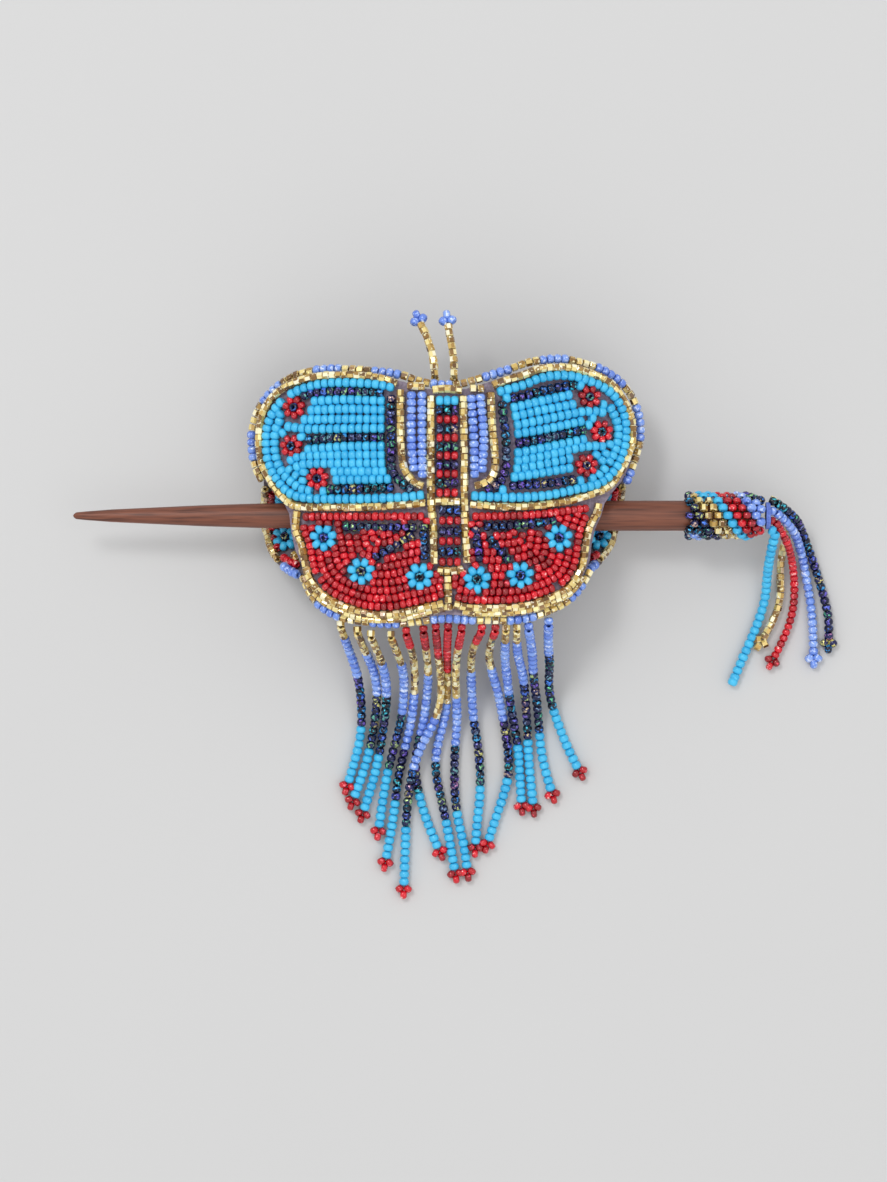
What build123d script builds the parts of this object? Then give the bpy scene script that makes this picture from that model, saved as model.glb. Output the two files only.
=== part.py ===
from build123d import *
import math
import os

# A beaded butterfly hair pin. A layered leather and bead panel is bent to a shallow arch, a tapered
# wooden stick goes under it through two side slits, and strings of beads hang from its lower edge.
# Frame: X along the stick with its tip at -X, Y up the butterfly, Z away from the head, floor at Z = 0.
# All sizes are in millimetres.

# ---------------------------------------------------------------- driving dimensions
BEAD_DIAMETER = 2.1  # a seed bead lying in its row, as a plain solid
STRAND_DIAMETER = 2.0  # a string of seed beads
RIM_WIDTH = 1.9  # the bead edging round the panel
LINE_WIDTH = 1.9  # one row of beads inside the panel
GAP = 0.1  # between neighbouring groups of beads
GLUE = 0.05  # between one layer and the next

ARCH_RADIUS = 78.3  # the leather's underside, bent about an axis along Y
ARCH_TOP = 24.9  # its height at the middle
LEATHER = 1.0
STIFFENER = 0.6
FELT = 1.0
PRISM_TOP = 34.0  # tall enough to hold the whole arch
REACH = 90.0  # long enough to cross the whole panel

STICK_HEIGHT = 13.2  # the stick's axis above the floor
STICK_RADIUS = 3.35
SLEEVE_START = 52.5
SLEEVE_END = 70.5
SLEEVE_RADIUS = 5.3
KNOT_START = 70.7
KNOT_END = 71.7
KNOT_RADIUS = 3.0

ARCH_CENTRE = ARCH_TOP - ARCH_RADIUS
STIFFENER_RADIUS = ARCH_RADIUS + LEATHER
FELT_RADIUS = STIFFENER_RADIUS + STIFFENER
BEAD_RADIUS = FELT_RADIUS + FELT
SURFACE_RADIUS = BEAD_RADIUS + BEAD_DIAMETER
FLOOR_LAY = STRAND_DIAMETER / 2 + 0.05  # a string's centre where it lies on the floor

os.makedirs("parts", exist_ok=True)


# ---------------------------------------------------------------- helpers
def away(points, distance, closed):
    """The points moved sideways by a distance, to the left of the way they run."""
    count = len(points)
    moved = []
    for i, (x, y) in enumerate(points):
        before = points[(i - 1) % count] if closed or i > 0 else points[0]
        after = points[(i + 1) % count] if closed or i < count - 1 else points[-1]
        dx, dy = after[0] - before[0], after[1] - before[1]
        length = math.hypot(dx, dy)
        moved.append((x - dy / length * distance, y + dx / length * distance))
    return moved


def polygon(points):
    with BuildSketch() as shape:
        with BuildLine():
            Polyline(*points, close=True)
        make_face()
    return shape.sketch


def ribbon(points, low, high):
    """A band that follows the points, between two distances to their left."""
    return polygon(away(points, low, False) + away(points, high, False)[::-1])


def row(points, width=LINE_WIDTH):
    """A row of beads: a band centred on the points."""
    return ribbon(points, -width / 2, width / 2)


def field(points, distance=0.0):
    """The area inside a closed outline, drawn that far to the left of the points."""
    return polygon(away(points, distance, True))


def discs(centres, radius):
    with BuildSketch() as shape:
        with Locations(*centres):
            Circle(radius)
    return shape.sketch


def arched(name, shapes, without, low, high):
    """Plan shapes, less other plan shapes, as a layer of the arch between two radii."""
    with BuildPart() as piece:
        with BuildSketch(Plane.XY):
            add(shapes)
            if without:
                add(without, mode=Mode.SUBTRACT)
        extrude(amount=PRISM_TOP)
        with BuildSketch(Plane.XZ):
            with Locations((0, ARCH_CENTRE)):
                Circle(high)
                Circle(low + GLUE, mode=Mode.SUBTRACT)
        extrude(amount=REACH, both=True, mode=Mode.INTERSECT)
    write(piece, name)


def write(piece, name):
    piece.part.label = name
    export_step(piece.part, f"parts/{name}.step")
    box = piece.part.bounding_box()
    print(f"{name:28} z {box.min.Z:6.2f} to {box.max.Z:6.2f}  volume {piece.part.volume:9.1f}")


# ---------------------------------------------------------------- panel outlines
# Every closed outline runs anticlockwise, so its inside is on the left.
PANEL = [
    (0, 27.2), (-5, 27.6), (-9.5, 29.1), (-14, 30.1), (-20, 30.8), (-27, 30.8), (-32.6, 29.6),
    (-37.3, 26.5), (-40.4, 23), (-41.6, 18.8), (-41.5, 14), (-40.4, 9.6), (-38.6, 6), (-36.2, 3),
    (-34.8, 0.3), (-34.4, -3.5), (-33.5, -7.5), (-32, -11), (-30.6, -13.8), (-28.4, -17.2),
    (-24.8, -20), (-20.5, -22.2), (-14.5, -23.3), (-8, -22.8), (0, -21.8), (5, -22.2),
    (13, -22.3), (19, -21.4), (24.5, -19.4), (28, -16.6), (30, -13.2), (31.4, -10),
    (31.8, -6.5), (32.6, -3), (34, 0), (34.7, 2.6), (36.4, 5), (38.6, 7.6), (40.3, 11),
    (41.4, 16.5), (41.4, 21), (40.2, 25.3), (38, 28.2), (34.6, 30.8), (30.6, 32.5), (25, 33.1),
    (19, 32.3), (13, 30.4), (8, 28.7), (4, 27.5),
]
UPPER_EDGE = PANEL[11::-1] + PANEL[:36:-1]  # from the left wing tip over the top to the right one
LOWER_EDGE = PANEL[18:31]

LEFT_FOREWING = [
    (-11, 28.3), (-15, 29.6), (-20, 30.0), (-27, 30.0), (-33, 28.9), (-37, 26.2), (-40, 22),
    (-40.8, 17.5), (-40.4, 12.8), (-39, 9.2), (-37, 6), (-34.6, 3), (-31.5, 1.9), (-26, 1.7),
    (-18, 1.7), (-10, 2.2), (-5.4, 2.9), (-5.2, 5.2), (-8, 7.2), (-9.7, 10), (-10.1, 15),
    (-10.2, 22),
]
RIGHT_FOREWING = [
    (9.7, 27.5), (9.9, 20), (10.3, 14), (9.8, 9), (8.2, 6.9), (5.6, 5.2), (5.6, 2.9), (10, 2),
    (17, 1.8), (25, 2.8), (31.5, 4.3), (35, 6), (37.6, 8.8), (39.6, 12.8), (40.4, 17.5),
    (40, 22), (38.2, 26), (34.5, 29.6), (30, 31.3), (24, 31.9), (18, 31), (13, 29.4),
]
LEFT_THORAX = [
    (-5, 27.1), (-8.4, 27.2), (-9, 24), (-8.8, 14), (-8.2, 10), (-6, 8), (-4.8, 9), (-4.7, 14),
    (-4.7, 24),
]
RIGHT_THORAX = [
    (5, 26.9), (4.7, 24), (4.9, 14), (5, 9), (6.2, 8), (8.5, 9.5), (9.1, 14), (8.8, 22),
    (8.3, 26.6),
]
LEFT_HINDWING = [
    (-32, 0.5), (-32.4, -3), (-31.2, -7), (-30.2, -11), (-28.6, -14), (-26, -16.8), (-21, -19.4),
    (-15, -20.6), (-9, -20), (-3, -18.8), (-1.3, -17.4), (-1.4, -13.4), (-3.9, -10.8),
    (-4.3, -6), (-4.6, -0.4), (-6.5, 0.6), (-12, 0.6), (-20, 0.6), (-27, 0.6),
]
RIGHT_HINDWING = [
    (31.8, 1.8), (28, 1.5), (20, 0.8), (12, 0.7), (7, 0.8), (5.1, -0.3), (5.2, -4), (6, -10),
    (3.5, -12.6), (1.7, -14), (1.9, -17.4), (4, -18.9), (10, -19.2), (17, -18.6), (23, -16.6),
    (26.6, -14), (28.8, -10), (29.4, -6), (30.2, -2.6), (32, 0),
]
LEFT_HIND_RIM = [
    (-33.3, -1.2), (-33, -5), (-31.9, -9), (-30.6, -12.4), (-28.6, -15.4), (-25, -18.4),
    (-20.5, -20.7), (-14.5, -21.8), (-9, -21.2), (-1, -19.6),
]
RIGHT_HIND_RIM = [
    (1.2, -19.6), (6, -20.3), (13, -20.4), (18.5, -19.5), (24.2, -17.4), (28, -14.6),
    (29.9, -10.5), (30.6, -6), (31.6, -2.6), (33, 0.2),
]
UPPER_BODY = [(-2.3, 25.4), (-2.3, 4.2), (2.3, 4.2), (2.3, 25.4)]
LOWER_BODY = [(-2.2, 1.2), (-1.7, -10.6), (2.9, -10.6), (2.6, 1.2)]

LEFT_VEINS = [
    [(-31.5, 26.2), (-25, 27), (-18, 26.7), (-12.4, 26)],
    [(-12.3, 26.5), (-12.4, 18), (-12.1, 10), (-9.6, 6.6), (-6.8, 5.1)],
    [(-31.2, 16.2), (-25, 16.9), (-12, 17)],
    [(-25.8, 5.5), (-18, 5.8), (-9.5, 6)],
]
RIGHT_VEINS = [
    [(12.4, 24.6), (18, 26.2), (23.5, 27.4), (28.4, 28.2)],
    [(12.1, 25.2), (12.7, 18), (12.8, 11), (11.2, 6.9), (8.6, 5.2)],
    [(12.5, 15), (21, 16.6), (30.6, 18.8)],
    [(11.6, 6.3), (19, 6.5), (27.8, 7.9)],
]
LEFT_HIND_VEINS = [
    [(-22.5, -2.9), (-14, -2.9), (-7, -2.9)],
    [(-6.2, -3.2), (-9.5, -5.6), (-13, -7.8), (-16.2, -9.2)],
]
RIGHT_HIND_VEINS = [
    [(23.4, -1.7), (15, -2.4), (7.8, -2.7)],
    [(7.6, -3.2), (10, -5.8), (12, -8), (13.6, -10.2)],
]
LEFT_ROSETTES = [(-33.7, 23.7), (-34.3, 15.1), (-28.6, 8)]
RIGHT_ROSETTES = [(31.3, 25.8), (34, 18.4), (30.7, 10.9)]
LEFT_FLOWERS = [(-27.1, -4.8), (-18.8, -12.3), (-6.2, -13)]
RIGHT_FLOWERS = [(24.5, -5), (16, -13.2), (6.6, -14.2)]
ROSETTE_RADIUS = 2.8
FLOWER_RADIUS = 3.2


def joined(lines, width=LINE_WIDTH):
    """Several rows of beads as one plan shape."""
    with BuildSketch() as shape:
        for line in lines:
            add(row(line, width))
    return shape.sketch


# ---------------------------------------------------------------- backing layers
arched("leather_backing", field(PANEL), None, ARCH_RADIUS, STIFFENER_RADIUS)
arched("stiffener_sheet", field(PANEL, 1.5), None, STIFFENER_RADIUS, FELT_RADIUS)
arched("beading_felt", field(PANEL), None, FELT_RADIUS, BEAD_RADIUS)

# The edging stands beside the layers and wraps their cut edges.
EDGE_LOW = ARCH_RADIUS + 0.4
EDGE_HIGH = BEAD_RADIUS + 0.3
RIM_OFF = 0.25  # from the layers' cut edges
arched("upper_edge_beads", ribbon(UPPER_EDGE, RIM_OFF, RIM_WIDTH), None, EDGE_LOW, EDGE_HIGH)
arched("lower_edge_beads", ribbon(LOWER_EDGE, -RIM_WIDTH, -RIM_OFF), None, EDGE_LOW, EDGE_HIGH)


# ---------------------------------------------------------------- bead embroidery
def wing(side, loop, veins, rosettes):
    """A forewing: its gold rim, the dark veins, the red rosettes, and the field between them."""
    inside = field(loop, LINE_WIDTH / 2)
    outside = field(loop, -LINE_WIDTH / 2 + 0.2)
    middle = field(loop, LINE_WIDTH / 2 + GAP)
    arched(f"{side}_forewing_outline", outside, inside, BEAD_RADIUS, SURFACE_RADIUS)
    with BuildSketch() as dark:
        add(joined(veins))
        add(middle, mode=Mode.INTERSECT)
        add(discs(rosettes, ROSETTE_RADIUS + GAP), mode=Mode.SUBTRACT)
    with BuildSketch() as spots:
        add(discs(rosettes, ROSETTE_RADIUS))
        add(middle, mode=Mode.INTERSECT)
    with BuildSketch() as taken:
        add(joined(veins, LINE_WIDTH + 2 * GAP))
        add(discs(rosettes, ROSETTE_RADIUS + GAP))
    arched(f"{side}_forewing_veins", dark.sketch, None, BEAD_RADIUS, SURFACE_RADIUS)
    arched(f"{side}_forewing_rosettes", spots.sketch, None, BEAD_RADIUS, SURFACE_RADIUS)
    arched(f"{side}_forewing_beads", middle, taken.sketch, BEAD_RADIUS, SURFACE_RADIUS)


def hindwing(side, loop, rim, veins, flowers):
    """A hindwing: its gold rim, dark veins, blue flowers, and the red field between them."""
    inside = field(loop, GAP)
    with BuildSketch() as dark:
        add(joined(veins))
        add(discs(flowers, FLOWER_RADIUS + GAP), mode=Mode.SUBTRACT)
    with BuildSketch() as petals:
        add(discs(flowers, FLOWER_RADIUS))
        add(inside, mode=Mode.INTERSECT)
    with BuildSketch() as taken:
        add(joined(veins, LINE_WIDTH + 2 * GAP))
        add(discs(flowers, FLOWER_RADIUS + GAP))
    arched(f"{side}_hindwing_outline", row(rim), field(loop), BEAD_RADIUS, SURFACE_RADIUS)
    arched(f"{side}_hindwing_veins", dark.sketch, None, BEAD_RADIUS, SURFACE_RADIUS)
    arched(f"{side}_hindwing_flowers", petals.sketch, None, BEAD_RADIUS, SURFACE_RADIUS)
    arched(f"{side}_hindwing_beads", inside, taken.sketch, BEAD_RADIUS, SURFACE_RADIUS)


wing("left", LEFT_FOREWING, LEFT_VEINS, LEFT_ROSETTES)
wing("right", RIGHT_FOREWING, RIGHT_VEINS, RIGHT_ROSETTES)
hindwing("left", LEFT_HINDWING, LEFT_HIND_RIM, LEFT_HIND_VEINS, LEFT_FLOWERS)
hindwing("right", RIGHT_HINDWING, RIGHT_HIND_RIM, RIGHT_HIND_VEINS, RIGHT_FLOWERS)
arched("left_thorax_pad", field(LEFT_THORAX), None, BEAD_RADIUS, SURFACE_RADIUS)
arched("right_thorax_pad", field(RIGHT_THORAX), None, BEAD_RADIUS, SURFACE_RADIUS)
arched("upper_body_stripes", polygon(UPPER_BODY), None, BEAD_RADIUS, SURFACE_RADIUS)
arched("lower_body_stripes", polygon(LOWER_BODY), None, BEAD_RADIUS, SURFACE_RADIUS)

BODY_LINES = [
    [(-3.4, 26.2), (-3.45, 15), (-3.4, 2.9)],
    [(3.4, 26.2), (3.55, 15), (3.4, 2.9)],
    [(-3.2, 1), (-3.1, -5), (-2.7, -11)],
    [(3.7, 1), (4, -5), (4, -10.9)],
    [(-3.6, 26.4), (0, 26.6), (3.6, 26.4)],
    [(-4, 2.7), (0, 2.7), (4, 2.7)],
    [(-2.4, -11.7), (0.6, -11.9), (3.4, -11.7)],
    [(0.1, -11.9), (0.2, -15), (0.3, -18.6)],
]
with BuildSketch() as body_taken:
    add(field(LEFT_FOREWING, -LINE_WIDTH / 2 + 0.1))
    add(field(RIGHT_FOREWING, -LINE_WIDTH / 2 + 0.1))
    add(field(LEFT_THORAX, -GAP))
    add(field(RIGHT_THORAX, -GAP))
    add(field(LEFT_HINDWING))
    add(field(RIGHT_HINDWING))
    add(row(LEFT_HIND_RIM, LINE_WIDTH + 2 * GAP))
    add(row(RIGHT_HIND_RIM, LINE_WIDTH + 2 * GAP))
arched("body_outline", joined(BODY_LINES), body_taken.sketch, BEAD_RADIUS, SURFACE_RADIUS)

# ---------------------------------------------------------------- side flaps
# Each flap is the outer strip of a hindwing. It dips under the stick like a belt loop, and its
# two ends meet the leather from below, so that the panel is held on the stick.
DIP = [
    (10.8, 17.9), (8.2, 15.6), (5.9, 11.2), (3.6, 8.2), (0, 7.2), (-4, 7.7), (-8, 10.4),
    (-12, 14.2), (-16.6, 17.9),
]
FLAP_BACKING = 1.7
LEFT_FLAP = [
    (-32.6, 10), (-37, 10), (-40.8, 8), (-41.2, 2), (-40.8, -3), (-39.8, -7), (-38.2, -10.2),
    (-35.4, -12.8), (-31.5, -14.6), (-29.8, -15.4), (-29.8, -12.8), (-31, -9), (-32.2, -4),
    (-32.6, 3),
]
RIGHT_FLAP = [
    (32, 10), (31.9, 3), (31.2, -4), (30.6, -9), (28.6, -13), (28.6, -15.2), (31.6, -13),
    (34.4, -10.6), (36.4, -7), (37.8, -3), (38.8, 2), (39.6, 7), (38.6, 9.8), (35, 10),
]
LEFT_SLOPE = 0.62
RIGHT_SLOPE = 0.80
LEFT_INNER = -32.6
RIGHT_INNER = 31.9
TUCK = 4.0  # how far a flap goes on inwards, under the panel
FLAP_REACH = 20.0
LEFT_FLAP_FLOWER = (-35.6, -5.6)
RIGHT_FLAP_FLOWER = (33.2, -5.2)
FLAP_FLOWER_RADIUS = 2.9


def flap(name, side, slope, inner, shapes, without, low, high):
    """A layer of a flap: the dip's profile drawn out and down to the side, and cut to its plan."""
    start = [(y, z + slope * TUCK) for y, z in DIP]
    with BuildPart() as piece:
        with BuildSketch(Plane.YZ.offset(inner - side * TUCK)):
            add(ribbon(start, low, high))
        extrude(amount=FLAP_REACH, dir=(side, 0, -slope))
        with BuildSketch(Plane.XY):
            add(shapes)
            if without:
                add(without, mode=Mode.SUBTRACT)
        extrude(amount=PRISM_TOP, both=True, mode=Mode.INTERSECT)
        with BuildSketch(Plane.XZ):
            with Locations((0, ARCH_CENTRE)):
                Circle(ARCH_RADIUS - GLUE)
        extrude(amount=REACH, both=True, mode=Mode.INTERSECT)
    write(piece, name)


for side_name, side, slope, inner, plan, flower in (
    ("left", -1, LEFT_SLOPE, LEFT_INNER, LEFT_FLAP, LEFT_FLAP_FLOWER),
    ("right", 1, RIGHT_SLOPE, RIGHT_INNER, RIGHT_FLAP, RIGHT_FLAP_FLOWER),
):
    petals = discs([flower], FLAP_FLOWER_RADIUS)
    hole = discs([flower], FLAP_FLOWER_RADIUS + GAP)
    with BuildSketch() as petals_inside:
        add(petals)
        add(polygon(plan), mode=Mode.INTERSECT)
    flap(f"{side_name}_flap_backing", side, slope, inner, polygon(plan), None, 0.0, FLAP_BACKING)
    flap(f"{side_name}_flap_beads", side, slope, inner, polygon(plan), hole, -BEAD_DIAMETER, -GLUE)
    flap(
        f"{side_name}_flap_flower", side, slope, inner, petals_inside.sketch, None,
        -BEAD_DIAMETER, -GLUE,
    )

# ---------------------------------------------------------------- stick, sleeve and tassel cap
STICK_TIP = -83.0
STICK_TAPER = [(-82.5, 0.7), (-74.4, 1.4), (-64.7, 1.85), (-55, 2.3), (-42, 2.72), (-10, 3.12)]
STICK_FULL = 30.0  # from here on the stick is a plain cylinder
STICK_END = 69.5

with BuildPart() as wood_stick:
    with BuildSketch(Plane.XZ):
        with BuildLine():
            Polyline(
                (STICK_TIP, 0),
                (STICK_TIP, 0.35),
                *STICK_TAPER,
                (STICK_FULL, STICK_RADIUS),
                (STICK_END, STICK_RADIUS),
                (STICK_END, 0),
                close=True,
            )
        make_face()
    revolve(axis=Axis.X)
wood_stick.part = wood_stick.part.moved(Location((0, 0, STICK_HEIGHT)))
write(wood_stick, "wood_stick")

with BuildPart() as bead_sleeve:
    with BuildSketch(Plane.XZ):
        with BuildLine():
            Polyline(
                (SLEEVE_START, STICK_RADIUS),
                (SLEEVE_START, SLEEVE_RADIUS - 0.5),
                (SLEEVE_START + 0.5, SLEEVE_RADIUS),
                (SLEEVE_END - 2, SLEEVE_RADIUS),
                (SLEEVE_END - 0.4, SLEEVE_RADIUS - 1.3),
                (SLEEVE_END, STICK_RADIUS),
                close=True,
            )
        make_face()
    revolve(axis=Axis.X)
bead_sleeve.part = bead_sleeve.part.moved(Location((0, 0, STICK_HEIGHT)))
write(bead_sleeve, "bead_sleeve")

with BuildPart() as tassel_knot:
    with BuildSketch(Plane.YZ.offset(KNOT_START)):
        with Locations((0, STICK_HEIGHT)):
            Circle(KNOT_RADIUS)
    extrude(amount=KNOT_END - KNOT_START)
    fillet(tassel_knot.edges().group_by(Axis.X)[-1], radius=0.4)
write(tassel_knot, "tassel_knot")

# ---------------------------------------------------------------- strings of beads
# Each string leaves its root, falls over a set distance, and then lies on the floor. Its points
# are (x, y), or (x, y, lift) where it rides over another string.
FRINGE = [
    [(-23.4, -24.6), (-22.2, -28.6), (-20.6, -33), (-19.5, -38), (-19.1, -43.5), (-19.3, -49),
     (-20.6, -54.5), (-22.2, -59.7)],
    [(-19.7, -26), (-18.1, -30.2), (-16.2, -34.4), (-15.5, -39.5), (-16.1, -45), (-17, -51),
     (-18.7, -57.2), (-20.9, -63.1)],
    [(-16.7, -26.9), (-15, -31), (-13.7, -35.2), (-13.4, -40.5), (-14.1, -46.5), (-15.1, -53),
     (-16.6, -59.6), (-18.7, -66)],
    [(-12.3, -27), (-10.7, -31), (-9.5, -35.2), (-9.7, -40.5), (-10.3, -46), (-12, -52),
     (-13.5, -58), (-14.5, -64), (-15.3, -69.8)],
    [(-9, -26.2), (-7.5, -30.5), (-7.1, -35.5), (-7.4, -41), (-8.2, -47), (-9.7, -53),
     (-11.1, -59), (-11.7, -65), (-12.6, -71), (-13.7, -76.8)],
    [(-5.2, -25.8), (-4.5, -30.3), (-4.1, -35.5), (-4.6, -41.5), (-5.4, -47), (-6.9, -52.4),
     (-7.2, -57.5), (-6.2, -63), (-4.4, -69), (-2, -74.5)],
    [(-2.5, -25.3), (-2.1, -30), (-1.4, -35.5, 1.5), (-1.3, -41, 1.5), (-2.9, -46.3, 1.4),
     (-5.6, -51, 2.4), (-7.6, -56, 2.4), (-8.6, -61.8, 0.8), (-9.2, -68), (-9.4, -75.5),
     (-9.7, -82.8)],
    [(0.2, -25.2), (-0.1, -30), (0.2, -35.5), (0.1, -41), (-0.8, -46.5), (-2.4, -52),
     (-2.7, -57.5), (-1.4, -63), (-0.2, -68.5), (0.8, -74), (1.7, -79.4)],
    [(3.2, -25.5), (2.2, -30, 0.4), (1.9, -35.5, 1.5), (2.1, -41, 1.2), (2.3, -46.2),
     (1.8, -51.7), (1.6, -57.5), (1.8, -63.5), (2.6, -69), (3.9, -74), (4.5, -79)],
    [(7.6, -25.5), (5.4, -29.2), (5.3, -34.5), (5.5, -40), (5.9, -45.5), (7, -51.5),
     (7.5, -57.5), (7.4, -63.5), (6.7, -68.6), (6.4, -73.6)],
    [(10.6, -25.5), (8.9, -29.5), (9.9, -34.5), (11.5, -39.5), (12.6, -45.5), (13.6, -51.5),
     (14, -57.5), (12.6, -63), (10.8, -68), (9.3, -72.8)],
    [(12.9, -25.6), (12.6, -30.5), (13.3, -35.5), (14, -41), (15, -46.4), (16, -52),
     (16.3, -58.2), (16.7, -64.2)],
    [(15.3, -25.6), (15.3, -30), (16.9, -35), (17.5, -40.5), (18, -46.5), (18.2, -52.5),
     (18.7, -58.7), (19.3, -64.6)],
    [(17.9, -25.3), (18.9, -30), (19.1, -35), (20, -40.5), (20.6, -46.5), (21, -52.3),
     (22.1, -57.3), (23.4, -61.6)],
    [(22.3, -24.2), (22.3, -28.5), (22.9, -33), (22.6, -38), (23.6, -42.8), (25.4, -47.8),
     (27.2, -52.3), (29.4, -56.6)],
]
FRINGE_FALL = 26.0  # how far along its run a string reaches the floor
EDGE_DROP = 0.9  # a root's depth below the middle of the edging

TASSEL = [
    [(72.9, -3.6), (72, -8), (71.6, -13), (71.6, -18), (70.2, -22.8), (68.3, -27.5),
     (66.2, -32.2), (64.3, -36.8)],
    [(73.2, 3.2), (76, 0.4), (76.2, -4.2), (75, -8.6), (74.8, -13), (75, -18), (73.6, -23),
     (70.9, -27.4)],
    [(72.9, -1.4), (75.6, -5.2), (77.3, -10), (78.1, -15.5), (77.8, -21), (76.1, -26.6),
     (73.4, -31.7)],
    [(73, 0.7), (76.9, -2.4), (79.2, -7.4), (80.6, -13.4), (81.7, -19.6), (82.2, -25.6),
     (82.3, -31)],
    [(73, 2.9), (77.6, 0.2), (80.2, -5), (82.6, -11.2), (84.5, -17.6), (85.9, -23),
     (85.7, -27.6)],
]
TASSEL_FALL = 15.0
TASSEL_ROOTS = [13.2, 10.2, 13.2, 13.2, 13.2]

ANTENNAE = {
    "left": [(-2.7, 30.4, 25.4), (-3.1, 34.6, 25.0), (-4.3, 38.6, 24.2), (-5.9, 42.2, 23.0)],
    "right": [(1.5, 30.4, 25.5), (1.4, 34.6, 25.1), (0.7, 38.6, 24.3), (0.2, 42, 23.3)],
}


def laid(points, root, fall, ease):
    """A string's route in space: its root's height, eased down to the floor over its fall."""
    route = []
    run = 0.0
    last = points[0]
    for x, y, *lift in points:
        run += math.hypot(x - last[0], y - last[1])
        last = (x, y)
        share = ease(min(run / fall, 1.0))
        route.append((x, y, FLOOR_LAY + (root - FLOOR_LAY) * share + (lift[0] if lift else 0)))
    return route


def hanging(t):
    """Steep at the root, flat at the floor."""
    return (1 - t) ** 2


def bending(t):
    """Level at the root, steep halfway, flat at the floor."""
    return (1 + math.cos(math.pi * t)) / 2


def string(name, route):
    """A tube along straight runs joined by arcs, each as large as its two runs allow."""
    radii = []
    for a, b, c in zip(route, route[1:], route[2:]):
        first, second = Vector(*b) - Vector(*a), Vector(*c) - Vector(*b)
        turn = math.radians(first.get_angle(second))
        radii.append(0.45 * min(first.length, second.length) / math.tan(turn / 2))
    with BuildPart() as piece:
        with BuildLine() as path:
            FilletPolyline(*route, radius=radii)
        with BuildSketch(Plane(path.line @ 0, z_dir=path.line % 0)):
            Circle(STRAND_DIAMETER / 2)
        sweep(path=path.line)
    write(piece, name)
    length = sum(edge.length for edge in path.edges())
    full = math.pi * STRAND_DIAMETER**2 / 4 * length
    print(f"    length {length:6.1f}  smallest radius {min(radii):5.1f}"
          f"  volume {piece.part.volume / full:5.3f} of its section times its length")


for number, points in enumerate(FRINGE, start=1):
    edge = (EDGE_LOW + EDGE_HIGH) / 2
    root = ARCH_CENTRE + math.sqrt(edge**2 - points[0][0] ** 2) - EDGE_DROP
    string(f"fringe_strand_{number:02}", laid(points, root, FRINGE_FALL, hanging))

for number, (points, root) in enumerate(zip(TASSEL, TASSEL_ROOTS), start=1):
    string(f"tassel_strand_{number}", laid(points, root, TASSEL_FALL, bending))

for side_name, route in ANTENNAE.items():
    string(f"{side_name}_antenna", route)
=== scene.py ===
# %% [markdown]
# # A beaded butterfly hair pin
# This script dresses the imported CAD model. Each group of beads is a plain plate or tube there, and
# becomes real seed beads here: small glass rings in rows, laid on the panel's arched surface.
# Lists of points are in millimetres, as a beader would measure them, and `MM` turns them to metres.

# %% load the frame
import bmesh
import bpy
import math
import random
import numpy as np
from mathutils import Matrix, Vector


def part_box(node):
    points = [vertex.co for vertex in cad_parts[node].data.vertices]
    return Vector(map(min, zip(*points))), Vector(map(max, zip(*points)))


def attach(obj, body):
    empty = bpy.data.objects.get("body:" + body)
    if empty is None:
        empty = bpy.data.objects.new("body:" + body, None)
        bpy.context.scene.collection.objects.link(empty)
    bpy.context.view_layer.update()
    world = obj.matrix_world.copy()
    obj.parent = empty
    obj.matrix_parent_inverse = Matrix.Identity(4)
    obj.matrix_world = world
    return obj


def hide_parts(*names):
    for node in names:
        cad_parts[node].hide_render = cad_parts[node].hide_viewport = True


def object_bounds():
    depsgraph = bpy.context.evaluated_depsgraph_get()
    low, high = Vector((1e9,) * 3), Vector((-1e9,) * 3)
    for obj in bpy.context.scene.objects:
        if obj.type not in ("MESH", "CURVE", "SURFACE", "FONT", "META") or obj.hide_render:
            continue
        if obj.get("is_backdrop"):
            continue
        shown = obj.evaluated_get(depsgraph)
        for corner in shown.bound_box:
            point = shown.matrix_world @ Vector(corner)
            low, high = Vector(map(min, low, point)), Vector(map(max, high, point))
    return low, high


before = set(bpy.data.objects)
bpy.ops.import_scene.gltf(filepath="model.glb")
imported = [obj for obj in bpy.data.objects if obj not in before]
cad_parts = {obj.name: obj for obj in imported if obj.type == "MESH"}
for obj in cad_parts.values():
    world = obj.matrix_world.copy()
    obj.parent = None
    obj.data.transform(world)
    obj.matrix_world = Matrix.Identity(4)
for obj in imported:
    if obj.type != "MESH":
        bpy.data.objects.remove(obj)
size_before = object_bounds()
MM = 0.001
random.seed(7)

# %% [markdown]
# ## Camera
# The pin lies on a table and is seen from straight above, from about a metre away. The long lens
# keeps the tassel and the fringe, which lie on the table, almost as large as the panel above them.

# %% camera
CAMERA_HEIGHT = 1.022
VIEW_HEIGHT = 0.260
SENSOR = 36.0
camera_data = bpy.data.cameras.new("overhead_camera")
camera = bpy.data.objects.new("overhead_camera", camera_data)
bpy.context.scene.collection.objects.link(camera)
camera.location = (-0.8 * MM, -16.7 * MM, CAMERA_HEIGHT)
camera_data.sensor_width = SENSOR
camera_data.lens = SENSOR / VIEW_HEIGHT
camera_data.clip_start = 0.01
bpy.context.scene.camera = camera
print("lens", round(camera_data.lens, 1), "mm")

# %% [markdown]
# ## One bead of each kind
# A seed bead is a short ring of glass. Its outline is spun round the hole with few sides, because
# there are thousands of beads. The gold beads are cut: squarer, with flat sides that glitter.

# %% bead shapes
BEAD_WIDTH = 2.3 * MM
BEAD_LENGTH = 1.6 * MM
HOLE = 0.42 * MM


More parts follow.
